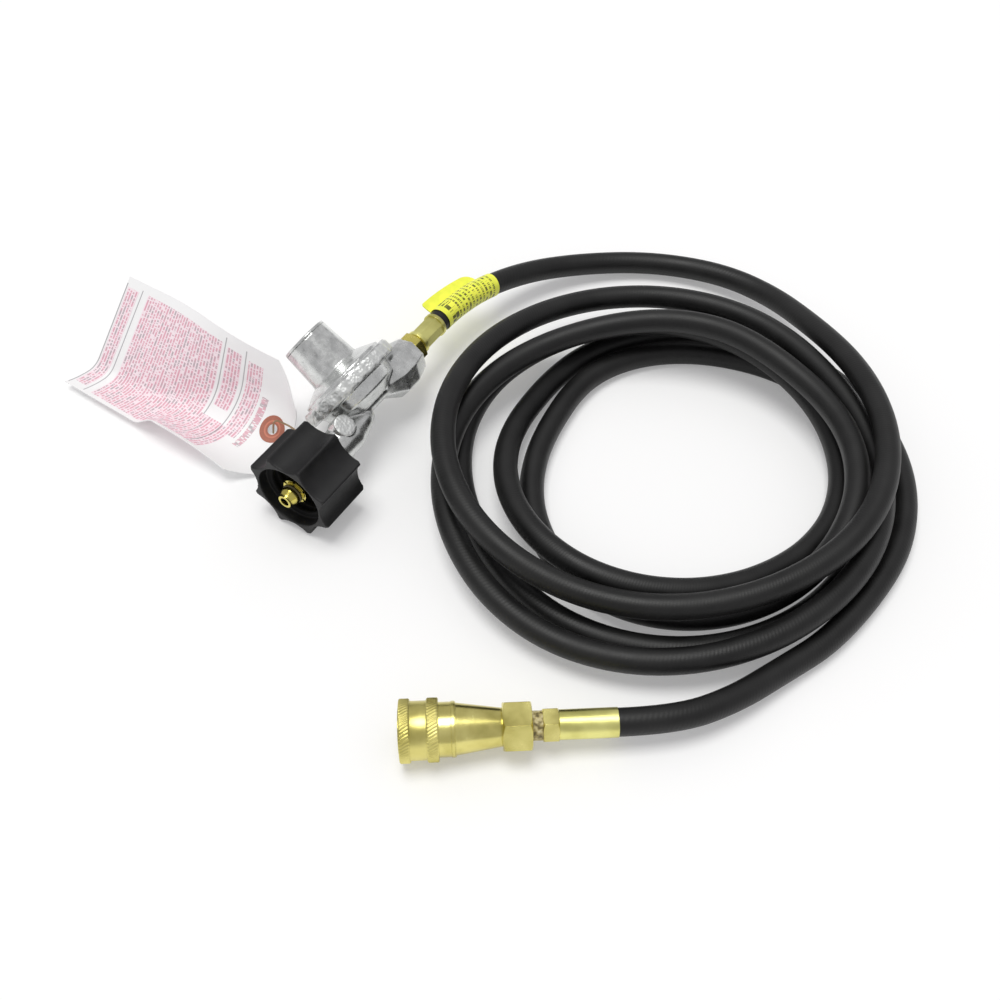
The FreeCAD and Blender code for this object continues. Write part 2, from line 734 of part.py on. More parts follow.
def regulator_parts():
    """The casting, the bonnet and what works between them."""
    casting()
    turned_part("inlet_orifice", GAS, [
        ("orifice_bore", "orifice_front"),
        ("orifice_radius", "orifice_front"),
        ("orifice_radius", "orifice_step"),
        ("orifice_nose_radius", "orifice_step"),
        ("orifice_nose_radius", "pocket_front"),
        ("orifice_bore", "pocket_front"),
    ])
    turned_part("valve_disc", GAS, [
        ("0", "disc_front"),
        ("disc_radius", "disc_front"),
        ("disc_radius", "disc_back"),
        ("0", "disc_back"),
    ])
    lever = new_body("lever", TOWER)
    eye_sketch = new_sketch(lever, "lever_eye_outline", "XZ_Plane", "0 - lever_width / 2")
    add_circle(eye_sketch, "lever_pivot_x", "lever_pivot_z", "lever_eye_radius")
    pad(lever, "lever_eye", eye_sketch, "lever_width")
    arm_sketch = new_sketch(lever, "lever_arm_outline", "XZ_Plane", "0 - lever_width / 2")
    stalk_front = "lever_pivot_x - lever_thickness"
    add_outline(arm_sketch, [
        (stalk_front, "lever_pivot_z"),
        ("lever_pivot_x", "lever_pivot_z"),
        ("lever_pivot_x", "lever_top - lever_thickness"),
        ("lever_reach", "lever_top - lever_thickness"),
        ("lever_reach", "lever_top"),
        (stalk_front, "lever_top"),
    ])
    pad(lever, "lever_arm", arm_sketch, "lever_width")
    hole_sketch = new_sketch(lever, "lever_hole_outline", "XZ_Plane")
    add_circle(hole_sketch, "lever_pivot_x", "lever_pivot_z", "lever_pin_radius + running_gap")
    pocket(lever, "lever_hole", hole_sketch, "2 * lever_width", both=True)
    pin = new_body("lever_pin", TOWER)
    pin_sketch = new_sketch(pin, "lever_pin_outline", "XZ_Plane", "0 - lever_pin_half_length")
    add_circle(pin_sketch, "lever_pivot_x", "lever_pivot_z", "lever_pin_radius")
    pad(pin, "lever_pin_pad", pin_sketch, "2 * lever_pin_half_length")

    seat_top = "rim_seat + diaphragm_thickness"
    ring_part("diaphragm", TOWER, "stem_radius + running_gap", "bonnet_radius", "rim_seat", seat_top)
    turned_part("diaphragm_plate", TOWER, [
        ("0", "stem_bottom"),
        ("stem_radius", "stem_bottom"),
        ("stem_radius", seat_top),
        ("plate_radius", seat_top),
        ("plate_radius", seat_top + " + plate_thickness"),
        ("0", seat_top + " + plate_thickness"),
    ])
    ring_part("main_spring", TOWER, "spring_inner_radius", "spring_outer_radius",
              seat_top + " + plate_thickness", "spring_top")
    turned_part("spring_seat", TOWER, [
        ("0", "spring_top"),
        ("seat_radius", "spring_top"),
        ("seat_radius", "spring_top + seat_thickness"),
        ("0", "spring_top + seat_thickness"),
    ])
    adjuster_bottom = "spring_top + seat_thickness + adjuster_gap"
    adjuster = turned_part("adjuster", TOWER, [
        ("0", adjuster_bottom),
        ("adjuster_radius", adjuster_bottom),
        ("adjuster_radius", adjuster_bottom + " + adjuster_length"),
        ("0", adjuster_bottom + " + adjuster_length"),
    ])
    socket_sketch = new_sketch(adjuster, "adjuster_socket_outline", "XY_Plane",
                               adjuster_bottom + " + adjuster_floor")
    add_regular(socket_sketch, 6, "adjuster_socket")
    pocket(adjuster, "adjuster_socket_cut", socket_sketch, "adjuster_length", reverse=True)

    flange_top = seat_top + " + bonnet_flange"
    bonnet = turned_part("bonnet", TOWER, [
        ("chamber_radius", seat_top),
        ("bonnet_radius", seat_top),
        ("bonnet_radius", flange_top),
        ("bonnet_shoulder", flange_top),
        ("bonnet_shoulder", "bonnet_cone_start"),
        ("tower_root_radius", "bonnet_cone_end"),
        ("tower_foot_radius", "bonnet_cone_end"),
        ("tower_radius", "tower_foot_end"),
        ("tower_radius", "tower_top"),
        ("tower_bore", "tower_top"),
        ("tower_bore", seat_top + " + bonnet_cavity"),
        ("chamber_radius", seat_top + " + bonnet_cavity"),
    ])
    vent_sketch = new_sketch(bonnet, "vent_boss_outline", "XY_Plane", flange_top)
    add_circle(vent_sketch, "0", "vent_y", "vent_radius")
    pad(bonnet, "vent_boss", vent_sketch,
        "vent_top - rim_seat - diaphragm_thickness - bonnet_flange")
    hole_sketch = new_sketch(bonnet, "vent_hole_outline", "XY_Plane", seat_top)
    add_circle(hole_sketch, "0", "vent_y", "vent_hole")
    pocket(bonnet, "vent_hole_cut", hole_sketch, "vent_top - rim_seat", reverse=True)
    screen = new_body("vent_screen", TOWER)
    screen_sketch = new_sketch(screen, "vent_screen_outline", "XY_Plane", "vent_top - 2 * screen_thickness")
    add_circle(screen_sketch, "0", "vent_y", "vent_hole")
    pad(screen, "vent_screen_pad", screen_sketch, "screen_thickness")
    turned_part("tower_cap", TOWER, [
        ("0", "tower_top - cap_plug_length"),
        ("tower_bore", "tower_top - cap_plug_length"),
        ("tower_bore", "tower_top"),
        ("tower_radius - cap_inset", "tower_top"),
        ("tower_radius - cap_inset", "tower_top + cap_thickness - cap_edge"),
        ("tower_radius - cap_inset - cap_edge", "tower_top + cap_thickness"),
        ("0", "tower_top + cap_thickness"),
    ])


def outlet_parts():
    """The brass outlet fitting with its barb, and the ferrule over it."""
    fitting = new_body("outlet_fitting", OUTLET)
    turn(fitting, "outlet_stem", [
        ("barb_bore", "outlet_thread_start"),
        ("outlet_thread_radius", "outlet_thread_start"),
        ("outlet_thread_radius", "outlet_boss_end"),
        ("outlet_neck", "outlet_boss_end"),
        ("outlet_neck", "outlet_neck_end"),
        ("barb_radius", "outlet_neck_end"),
        ("barb_radius", "hose_start"),
        ("barb_bore", "hose_start"),
    ])
    hexagon(fitting, "outlet_hexagon", "outlet_hex", "outlet_boss_end", "outlet_hex_end",
            "outlet_neck - hexagon_bite")
    ferrule = turned_part("regulator_ferrule", OUTLET, [
        ("barb_radius", "outlet_neck_end"),
        ("crimp_radius - crimp_edge", "outlet_neck_end"),
        ("crimp_radius", "outlet_neck_end + crimp_edge"),
        ("crimp_radius", "hose_start - crimp_edge"),
        ("crimp_radius - crimp_edge", "hose_start"),
        ("barb_radius", "hose_start"),
    ])
    crimp_sketch = new_sketch(ferrule, "crimp_outline", "XY_Plane", "outlet_neck_end + crimp_margin")
    add_circle(crimp_sketch, "0", "0", "crimp_radius + crimp_edge")
    add_regular(crimp_sketch, 8, "crimp_width")
    pocket(ferrule, "crimp_flats", crimp_sketch, "hose_start - outlet_neck_end - 2 * crimp_margin",
           reverse=True)


def hexagon(body, name, width, start, end, bore):
    """A hexagon round the body's line, its corners turned off at both ends."""
    sketch = new_sketch(body, name + "_outline", "XY_Plane", start)
    add_regular(sketch, 6, width)
    add_circle(sketch, "0", "0", bore)
    pad(body, name, sketch, "%s - %s" % (end, start))
    for tag, face, step in (("front", start, "+"), ("back", end, "-")):
        turn(body, "%s_%s_chamfer" % (name, tag), [
            (width + " / 2 - 0.1", face),
            (width, face),
            (width, "%s %s %s * %s" % (face, step, CHAMFER_SHARE, width)),
        ], groove=True)


def unit(vector):
    return vector * (1 / vector.Length)


def three_point_arc(start, corner, end, radius):
    """The tangent arc from one point to another, inside the corner between them."""
    inward = unit((start + end) * 0.5 - corner)
    half_turn = (corner - start).getAngle(end - corner) / 2
    middle = corner + inward * (radius / math.cos(half_turn) - radius)
    return Part.Arc(start, middle, end).toShape()


def route_edges(label, points):
    """Straight runs joined by tangent arcs, each as large as its two runs allow."""
    edges = []
    last = points[0]
    for before, corner, after in zip(points, points[1:], points[2:]):
        reach = ARC_SHARE * min((corner - before).Length, (after - corner).Length)
        half_turn = (corner - before).getAngle(after - corner) / 2
        radius = reach / math.tan(half_turn)
        print("%s: turn of %.0f degrees, radius %.0f mm" % (label, math.degrees(2 * half_turn), radius))
        start = corner - unit(corner - before) * reach
        end = corner + unit(after - corner) * reach
        edges.append(Part.LineSegment(last, start).toShape())
        edges.append(three_point_arc(start, corner, end, radius))
        last = end
    edges.append(Part.LineSegment(last, points[-1]).toShape())
    return edges


def swept(edges, radius):
    """A round solid along a path."""
    path = Part.Wire(edges)
    first = edges[0]
    profile = Part.Circle(first.valueAt(first.FirstParameter), first.tangentAt(first.FirstParameter), radius)
    return path.makePipeShell([Part.Wire(profile.toShape())], True)


def shape_part(label, shape, placement=None):
    part = doc.addObject("Part::Feature", label)
    part.Label = label
    part.Shape = shape
    if placement:
        part.Placement = placement
    return part


def tube_part(label, edges):
    """A length of the hose, its volume compared with its section times its length."""
    length = sum(edge.Length for edge in edges)
    shape = swept(edges, size("hose_radius"))
    expected = math.pi * size("hose_radius") ** 2 * length
    print("%s: %.0f mm long, volume %.4f of its section times its length"
          % (label, length, shape.Volume / expected))
    return shape_part(label, shape)


def station(index):
    """Where the hose is at one quarter turn of the coil, and the way it heads."""
    reach, height, toe, climb = QUARTERS[index]
    angle = math.radians(COIL_START_ANGLE - 90 * index)
    out = V(math.cos(angle), math.sin(angle), 0)
    along = V(math.sin(angle), -math.cos(angle), 0)
    middle = V(size("coil_x"), size("coil_y"), height) + shift
    way = along + out * math.tan(math.radians(toe)) + UP * math.tan(math.radians(climb))
    return middle + out * reach, unit(way)


def quarter_turn(first, second):
    """Two arcs that leave one station and reach the next along their headings."""
    (start, way), (end, next_way) = first, second
    across = end - start
    both = way + next_way
    share = 1 - way.dot(next_way)
    lean = across.dot(both)
    reach = (math.sqrt(lean * lean + 2 * share * across.dot(across)) - lean) / (2 * share)
    near, far = start + way * reach, end - next_way * reach
    meeting = (near + far) * 0.5
    edges = []
    for arc_start, corner, arc_end in ((start, near, meeting), (meeting, far, end)):
        half_turn = (corner - arc_start).getAngle(arc_end - corner) / 2
        radius = reach / math.tan(half_turn)
        edges.append(three_point_arc(arc_start, corner, arc_end, radius))
    return edges


def least_gap(points, steps_apart):
    """The least space between stretches of a hose that are not next to each other."""
    nearest = min(
        first.distanceToPoint(second)
        for index, first in enumerate(points)
        for second in points[index + steps_apart:])
    return nearest - 2 * size("hose_radius")


def hose_parts():
    """The hose in three lengths: to the coil, the coil, and on to the coupler."""
    lead = 2 * size("hose_radius")
    stations = [station(index) for index in range(len(QUARTERS))]
    coil_start = stations[0][0] - stations[0][1] * lead
    coil_end = stations[-1][0] + stations[-1][1] * lead
    start = outlet_point + flow * size("hose_start")
    end = coupler_point
    regulator_points = [start, start + flow * REGULATOR_LEAD]
    regulator_points += [V(*place) + shift for place in REGULATOR_ROUTE]
    regulator_points += [coil_start - stations[0][1] * COIL_LEAD_IN, coil_start]
    coupler_points = [coil_end, coil_end + stations[-1][1] * COIL_LEAD_OUT]
    coupler_points += [V(*place) + shift for place in COUPLER_ROUTE]
    coupler_points += [end - coupler_line * COUPLER_LEAD, end]

    regulator_edges = route_edges("hose_tail_regulator", regulator_points)
    coupler_edges = route_edges("hose_tail_coupler", coupler_points)
    coil_edges = [Part.LineSegment(coil_start, stations[0][0]).toShape()]
    for first, second in zip(stations, stations[1:]):
        coil_edges += quarter_turn(first, second)
    coil_edges.append(Part.LineSegment(stations[-1][0], coil_end).toShape())
    tube_part("hose_tail_regulator", regulator_edges)
    tube_part("hose_coil", coil_edges)
    tube_part("hose_tail_coupler", coupler_edges)

    coil_radii = [edge.Curve.Radius for edge in coil_edges if hasattr(edge.Curve, "Radius")]
    print("hose_coil: radii %.0f to %.0f mm" % (min(coil_radii), max(coil_radii)))
    whole = Part.Wire(regulator_edges + coil_edges + coupler_edges)
    count = int(whole.Length / GAP_STEP)
    gap = least_gap(whole.discretize(Number=count), int(4 * lead / GAP_STEP))
    print("hose: %.0f mm long, least gap to itself %.2f mm" % (whole.Length, gap))
    if gap < LEAST_GAP:
        raise ValueError("the hose touches itself")
    label_part(regulator_edges)


def stretch(edges, start, end):
    """The part of a path between two lengths along it."""
    kept = []
    passed = 0.0
    for edge in edges:
        low, high = max(start - passed, 0.0), min(end - passed, edge.Length)
        if high - low > 0.01:
            first, last = edge.getParameterByLength(low), edge.getParameterByLength(high)
            kept.append(edge.Curve.toShape(first, last))
        passed += edge.Length
    return kept


def label_part(edges):
    """A label wrapped round the hose by the regulator, its two ends joined as a flag."""
    inner = size("hose_radius + label_gap")
    outer = inner + size("label_thickness")
    path = stretch(edges, size("label_start"), size("label_end"))
    first = path[0]
    place, way = first.valueAt(first.FirstParameter), first.tangentAt(first.FirstParameter)
    up = unit(UP * size("flag_lift") + sideways)
    side = way.cross(up) * size("label_thickness")
    low = place + up * (inner + size("label_thickness") / 2)
    high = place + up * (outer + size("flag_height"))
    flag_outline = Part.makePolygon([low + side, high + side, high - side, low - side, low + side])
    flag = Part.Wire(path).makePipeShell([flag_outline], True)
    wrap = swept(path, outer)
    longer = stretch(edges, size("label_start - label_overrun"), size("label_end + label_overrun"))
    shape_part("hose_label", wrap.fuse(flag).cut(swept(longer, inner)).removeSplitter())


def tag_section(bottom, thickness):
    """The tag's bent section, from its flat edge on the floor to its raised edge."""
    bend = math.radians(size("tag_bend"))
    middle = V(size("tag_flat"), size("tag_rest + tag_thickness + tag_bend_radius"), 0)
    inner = middle.y - bottom - thickness
    outer = inner + thickness
    rise = V(math.cos(bend), math.sin(bend), 0) * size("tag_rise")

    def on_bend(radius, angle):
        return middle + V(math.sin(angle), -math.cos(angle), 0) * radius

    low, low_mid, low_end = (on_bend(outer, angle) for angle in (0, bend / 2, bend))
    top, top_mid, top_end = (on_bend(inner, angle) for angle in (0, bend / 2, bend))
    edges = [
        Part.LineSegment(V(0, low.y, 0), low),
        Part.Arc(low, low_mid, low_end),
        Part.LineSegment(low_end, low_end + rise),
        Part.LineSegment(low_end + rise, top_end + rise),
        Part.LineSegment(top_end + rise, top_end),
        Part.Arc(top_end, top_mid, top),
        Part.LineSegment(top, V(0, top.y, 0)),
        Part.LineSegment(V(0, top.y, 0), V(0, low.y, 0)),
    ]
    return Part.Face(Part.Wire([edge.toShape() for edge in edges]))


def wedge(corner, down, normal):
    """What is clipped off one corner at the tag's right-hand end."""
    far = V(0, 0, size("tag_corner"))
    triangle = Part.makePolygon([corner, corner + down * size("tag_corner"), corner - far, corner])
    cutter = Part.Face(triangle).extrude(normal * size("tag_cutter"))
    cutter.translate(normal * size("0 - tag_cutter / 2"))
    return cutter


def tag_parts():
    """The hang tag, the patch round its hole and the wire tie."""
    length = V(0, 0, size("tag_length"))
    sheet_shape = tag_section(size("tag_rest"), size("tag_thickness")).extrude(length)
    bend = math.radians(size("tag_bend"))
    middle = V(size("tag_flat"), size("tag_rest + tag_thickness + tag_bend_radius"), 0)
    rise = V(math.cos(bend), math.sin(bend), 0)
    raised = middle + V(math.sin(bend), -math.cos(bend), 0) * size("tag_bend_radius")
    raised += rise * size("tag_rise")
    corners = [
        wedge(V(0, size("tag_rest"), 0) + length, V(1, 0, 0), UP.cross(V(1, 0, 0))),
        wedge(raised + length, rise * -1, UP.cross(rise)),
    ]
    along_bend = size("tag_hole_across - tag_flat") / size("tag_bend_radius")
    normal = V(-math.sin(along_bend), math.cos(along_bend), 0)
    hole_place = middle - normal * size("tag_bend_radius") + length - V(0, 0, size("tag_hole_inset"))
    below = V(0, size("tag_cutter / 2"), 0)
    hole = Part.makeCylinder(size("tag_hole_radius"), size("tag_cutter"), hole_place - below, V(0, 1, 0))
    for cutter in corners + [hole]:
        sheet_shape = sheet_shape.cut(cutter)
    shape_part("hang_tag", sheet_shape, TAG)
    patch = tag_section(size("tag_rest + tag_thickness"), size("patch_thickness")).extrude(length)
    behind = hole_place - normal * size("tag_cutter / 2")
    disc = Part.makeCylinder(size("patch_radius"), size("tag_cutter"), behind, normal)
    shape_part("tag_patch", patch.common(disc).cut(hole), TAG)

    centre = gas_point + flow * size("tie_place")
    ring = Part.makeTorus(size("tie_loop"), size("tie_radius"), centre, flow)
    strand = swept(route_edges("tag_tie", [V(*place) + shift for place in TIE_ROUTE]), size("tie_radius"))
    shape_part("tag_tie", ring.fuse(strand))


def coupler_parts():
    """The quick coupler, from the ferrule on the hose to the sleeve at its mouth."""
    ring_part("coupler_ferrule", COUPLER, "barb_radius", "coupler_ferrule_radius",
              "0", "coupler_ferrule_end")
    fitting = new_body("coupler_fitting", COUPLER)
    turn(fitting, "coupler_stem", [
        ("barb_bore", "coupler_stem_start"),
        ("barb_radius", "coupler_stem_start"),
        ("barb_radius", "coupler_ferrule_end"),
        ("coupler_thread_radius", "coupler_ferrule_end"),
        ("coupler_thread_radius", "coupler_thread_end"),
        ("barb_bore", "coupler_thread_end"),
    ])
    hexagon(fitting, "coupler_small_hexagon", "coupler_small_hex", "coupler_ferrule_end",
            "coupler_small_hex_end", "coupler_thread_radius - hexagon_bite")
    ring_part("thread_seal", COUPLER, "coupler_thread_radius", "sealant_radius",
              "coupler_small_hex_end", "body_hex_start")

    body = new_body("coupler_body", COUPLER)
    turn(body, "coupler_barrel", [
        ("coupler_thread_radius", "body_hex_start"),
        ("body_waist_radius", "body_hex_start"),
        ("body_waist_radius", "body_hex_end"),
        ("body_shoulder_radius", "body_shoulder"),
        ("body_tube_radius", "body_shoulder"),
        ("body_tube_radius", "ring_start"),
        ("ring_groove_radius", "ring_start"),
        ("ring_groove_radius", "ring_end"),
        ("body_tube_radius", "ring_end"),
        ("body_tube_radius", "body_step"),
        ("body_nose_radius", "body_step"),
        ("body_nose_radius", "snap_start"),
        ("snap_groove_radius", "snap_start"),
        ("snap_groove_radius", "snap_end"),
        ("body_nose_radius", "snap_end"),
        ("body_nose_radius", "body_end"),
        ("socket_radius + socket_chamfer", "body_end"),
        ("socket_radius", "body_end - socket_chamfer"),
        ("socket_radius", "socket_seal_end"),
        ("socket_groove_radius", "socket_seal_end"),
        ("socket_groove_radius", "socket_seal_start"),
        ("socket_radius", "socket_seal_start"),
        ("socket_radius", "socket_start"),
        ("valve_throat_radius", "socket_start"),
        ("valve_throat_radius", "valve_chamber_end"),
        ("valve_chamber_radius", "valve_chamber_end"),
        ("valve_chamber_radius", "valve_chamber_start"),
        ("coupler_bore", "valve_chamber_start"),
        ("coupler_bore", "coupler_bore_start"),
        ("coupler_thread_radius", "coupler_bore_start"),
    ])
    hexagon(body, "coupler_hexagon", "body_hex", "body_hex_start", "body_hex_end",
            "body_waist_radius - hexagon_bite")
    hole_sketch = new_sketch(body, "ball_hole_outline", "YZ_Plane", "ball_hole_start")
    add_circle(hole_sketch, "0", "ball_place", "ball_radius + running_gap")
    ball_hole = pocket(body, "ball_hole", hole_sketch, "ball_hole_length", reverse=True)
    around(body, "ball_holes", ball_hole, "ball_count")

    ring_part("retaining_ring", COUPLER, "ring_groove_radius", "ring_radius", "ring_start", "ring_end")
    ring_part("snap_ring", COUPLER, "snap_groove_radius", "snap_radius", "snap_start", "snap_end")
    turned_part("coupler_sleeve", COUPLER, [
        ("body_tube_radius + running_gap", "sleeve_start"),
        ("sleeve_band_radius - sleeve_edge", "sleeve_start"),
        ("sleeve_band_radius", "sleeve_start + sleeve_edge"),
        ("sleeve_band_radius", "rear_band_end - sleeve_edge"),
        ("sleeve_band_radius - sleeve_edge", "rear_band_end"),
        ("sleeve_waist_radius", "rear_band_end"),
        ("sleeve_waist_radius", "front_band_start"),
        ("sleeve_band_radius - sleeve_edge", "front_band_start"),
        ("sleeve_band_radius", "front_band_start + sleeve_edge"),
        ("sleeve_band_radius", "sleeve_end - sleeve_edge"),
        ("sleeve_band_radius - sleeve_edge", "sleeve_end"),
        ("sleeve_cone_end_radius", "sleeve_end"),
        ("body_nose_radius + running_gap", "sleeve_cone_start"),
        ("body_nose_radius + running_gap", "sleeve_land"),
        ("body_tube_radius + running_gap", "sleeve_land"),
    ])
    ring_part("sleeve_spring", COUPLER, "body_nose_radius + running_gap",
              "body_tube_radius - running_gap", "body_step", "sleeve_land")

    for index in range(int(size("ball_count"))):
        ball = doc.addObject("Part::Sphere", "ball_%d" % (index + 1))
        ball.Label = "ball_%d" % (index + 1)
        ball.setExpression("Radius", rule("ball_radius"))
        turned = FreeCAD.Rotation(UP, 60 * index)
        place = turned.multVec(V(size("ball_reach"), 0, 0)) + V(0, 0, size("ball_place"))
        ball.Placement = COUPLER.multiply(FreeCAD.Placement(place, turned))

    turned_part("coupler_poppet", COUPLER, [
        ("0", "coupler_poppet_end"),
        ("coupler_poppet_stem", "coupler_poppet_end"),
        ("coupler_poppet_stem", "coupler_poppet_back"),
        ("coupler_poppet_head", "coupler_poppet_back"),
        ("coupler_poppet_head", "coupler_poppet_front"),
        ("coupler_poppet_nose_radius", "coupler_poppet_front"),
        ("coupler_poppet_nose_radius", "coupler_poppet_nose"),
        ("0", "coupler_poppet_nose"),
    ])
    guide = ring_part("poppet_guide", COUPLER, "coupler_poppet_stem + running_gap",
                      "valve_chamber_radius", "valve_chamber_start", "guide_end")
    window_sketch = new_sketch(guide, "guide_window_outline", "XY_Plane", "guide_end")
    add_circle(window_sketch, "guide_window_reach", "0", "guide_window")
    window = pocket(guide, "guide_window_cut", window_sketch, "guide_end - valve_chamber_start")
    around(guide, "guide_windows", window, "4")
    ring_part("poppet_spring", COUPLER, "poppet_spring_inner", "poppet_spring_outer",
              "guide_end", "coupler_poppet_back")
    round_seal("socket_seal", COUPLER, "socket_seal_reach",
               "socket_seal_start * 0.5 + socket_seal_end * 0.5", "socket_seal_wire")


def check_and_write():
    """Every object is sound before any shape is written."""
    doc.recompute()
    failed = [item.Name for item in doc.Objects if {"Invalid", "Error"} & set(item.State)]
    kinds = ("PartDesign::Body", "Part::Feature", "Part::Sphere")
    parts = [item for item in doc.Objects if item.TypeId in kinds]
    for part in parts:
        if part.Shape.isNull() or not part.Shape.isValid() or len(part.Shape.Solids) != 1:
            failed.append(part.Label)
    if failed:
        raise ValueError("failed: " + ", ".join(failed))
    os.makedirs("parts", exist_ok=True)
    for part in parts:
        part.Shape.exportStep("parts/%s.step" % part.Label)
        print("%-22s %9.1f mm3" % (part.Label, part.Shape.Volume))


inlet_parts()
regulator_parts()
outlet_parts()
hose_parts()
tag_parts()
coupler_parts()
check_and_write()
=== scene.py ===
import json
import math

import bmesh
import bpy
from bpy.props import FloatProperty, FloatVectorProperty, IntProperty, PointerProperty
from mathutils import Matrix, Vector

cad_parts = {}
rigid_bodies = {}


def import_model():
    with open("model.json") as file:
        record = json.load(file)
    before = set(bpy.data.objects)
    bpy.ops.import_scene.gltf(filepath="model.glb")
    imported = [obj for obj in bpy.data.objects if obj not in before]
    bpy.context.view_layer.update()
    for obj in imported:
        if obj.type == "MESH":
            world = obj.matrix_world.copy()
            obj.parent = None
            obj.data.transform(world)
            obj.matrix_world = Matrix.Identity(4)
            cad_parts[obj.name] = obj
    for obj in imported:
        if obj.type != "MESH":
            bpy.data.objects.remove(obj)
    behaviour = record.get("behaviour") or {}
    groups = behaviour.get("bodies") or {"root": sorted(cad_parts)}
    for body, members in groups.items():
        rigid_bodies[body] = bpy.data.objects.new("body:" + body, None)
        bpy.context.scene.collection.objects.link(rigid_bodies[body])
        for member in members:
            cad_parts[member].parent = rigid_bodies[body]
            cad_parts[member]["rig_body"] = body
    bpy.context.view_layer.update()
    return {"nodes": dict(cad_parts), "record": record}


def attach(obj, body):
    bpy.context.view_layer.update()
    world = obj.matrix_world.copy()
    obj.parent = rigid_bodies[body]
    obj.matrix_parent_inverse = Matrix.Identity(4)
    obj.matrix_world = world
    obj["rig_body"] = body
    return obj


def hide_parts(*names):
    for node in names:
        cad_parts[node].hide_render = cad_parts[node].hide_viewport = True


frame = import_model()

bl_info = {
    "name": "Propane regulator hose",
    "version": (1, 0, 0),
    "blender": (4, 5, 0),
    "location": "3D View > Sidebar > Gas hose",
    "description": "Dresses the regulator, its coiled hose, the tag and the quick coupler",
    "category": "Object",
}

MM = 0.001
UP = Vector((0, 0, 1))


def heading(angle):
    return Vector((math.cos(math.radians(angle)), math.sin(math.radians(angle)), 0))


def lying(base, x_axis, z_axis):
    """The matrix of a line of fittings, with its origin, X axis and Z axis."""
    columns = (x_axis, z_axis.cross(x_axis), z_axis)
    turned = Matrix.Identity(3)
    for index, column in enumerate(columns):
        turned.col[index] = column
    return Matrix.Translation(base) @ turned.to_4x4()


# Where the fittings lie, in millimetres turned to metres, as in the solids
SHIFT = Vector((143.8, -53.7, 0)) * MM
FLOW = heading(58)
TOWER_ROLL = math.radians(34)
TOWER_WAY = UP * math.sin(TOWER_ROLL) + heading(148) * math.cos(TOWER_ROLL)
GAS_POINT = Vector((-70.1, 45.5, 25.5)) * MM + SHIFT
OUTLET_POINT = GAS_POINT + TOWER_WAY * 7.8 * MM
HOSE_START = OUTLET_POINT + FLOW * 72.3 * MM
COUPLER_WAY = heading(182.7)
HOSE_END = Vector((55.1, -148.0, 15.0)) * MM + SHIFT
TAG_LINE = heading(-35)
TAG_ACROSS = heading(55)
TAG_POINT = Vector((-256.4, 86.6, 0)) * MM + SHIFT

GAS = lying(GAS_POINT, TOWER_WAY, FLOW)
TOWER = lying(GAS_POINT, FLOW, TOWER_WAY)
OUTLET = lying(OUTLET_POINT, TOWER_WAY, FLOW)
COUPLER = lying(HOSE_END, UP, COUPLER_WAY)
TAG = lying(TAG_POINT, TAG_ACROSS, TAG_LINE)

# The hose, in millimetres: its route to the coil and from it, and the coil's quarter turns,
# each with its reach, height, heading out and heading up
REGULATOR_ROUTE = [(11.0, 169.0, 18.5), (52.0, 188.0, 10.5), (97.0, 192.5, 8.0), (139.5, 179.0, 10.0)]
COUPLER_ROUTE = [(139.0, -114.0, 7.5), (110.5, -134.6, 12.0)]
QUARTERS = [
    (128.0, 23.0, -21, 15), (115.0, 35.0, -2, -4), (124.0, 30.0, 8, 10), (119.5, 29.0, 2, -10),
    (109.0, 21.5, -12, 2), (124.5, 21.5, 8, 1), (140.5, 16.0, -8, 5), (96.5, 28.0, -21, 7),
    (82.3, 32.5, 6, -13), (107.7, 22.0, 6, -14), (95.0, 6.75, -19, 0), (72.2, 6.75, 15, 0),
    (98.3, 6.75, 16, 0), (118.0, 6.75, 7, 0), (122.6, 6.75, -10, 0), (106.5, 15.5, -16, 10),
    (89.8, 19.2, 5, -12), (95.0, 11.0, 0, 6), (102.0, 23.5, -6, 0), (87.6, 6.75, 10, 0),
    (114.4, 6.75, 10, 0), (133.3, 6.75, 2, 0),
]
COIL_MIDDLE = Vector((94.0, 25.0, 0)) * MM + SHIFT
COIL_START_ANGLE = 45
POINTS_PER_QUARTER = 6
# How far outside the hose's own line the points lie, since the curve passes inside them
CURVE_REACH = 1.0086
REGULATOR_LEAD = 26 * MM
COIL_LEAD_IN = 43.5 * MM
COIL_LEAD_OUT = 37.5 * MM
COUPLER_LEAD = 27 * MM
HOSE_LENGTH = 4.02

# The label, wrapped round the hose with its two ends joined as a flag, in millimetres
LABEL_START, LABEL_END = 4.0, 52.5
LABEL_RADIUS = 7.1
LABEL_FLAG = 7.2
LABEL_ROWS = 15
LABEL_UP = (UP * 0.3 + heading(148)).normalized()
LABEL_STEPS_ROUND, LABEL_STEPS_ALONG = 90, 48
LABEL_THICKNESS = 0.25
FLAG_HALF_GAP, FLAG_CURL = 0.16, 0.8
FLAG_ROUNDED, FLAG_TAPER_START, FLAG_TAPER, FLAG_DROP = 1.5, 33, 9, 0.12

# The tag, flat and bent, in millimetres: its bend at the free end and at the hole, its clipped
# corners and its hole
TAG_LENGTH, TAG_WIDTH, TAG_FREE_WIDTH = 140.0, 83.3, 80.0
TAG_REST = 0.5
FREE_FLAT, FREE_BEND_RADIUS, FREE_BEND = 17.0, 14.0, math.radians(45)
HOLE_FLAT, HOLE_BEND_RADIUS, HOLE_BEND = 24.0, 32.2, math.radians(70)
FREE_BEND_END, HOLE_BEND_START = 30, 112
TAG_CORNER, TAG_UPPER_CORNER = 13.0, 21.0
TAG_HOLE, TAG_HOLE_RADIUS, PATCH_RADIUS = (126.0, 42.0), 3.2, 8.2
SHEET_THICKNESS, PATCH_THICKNESS, PATCH_PROUD = 0.35, 0.2, 0.3
SHEET_STEPS = (3.5, 2.0)

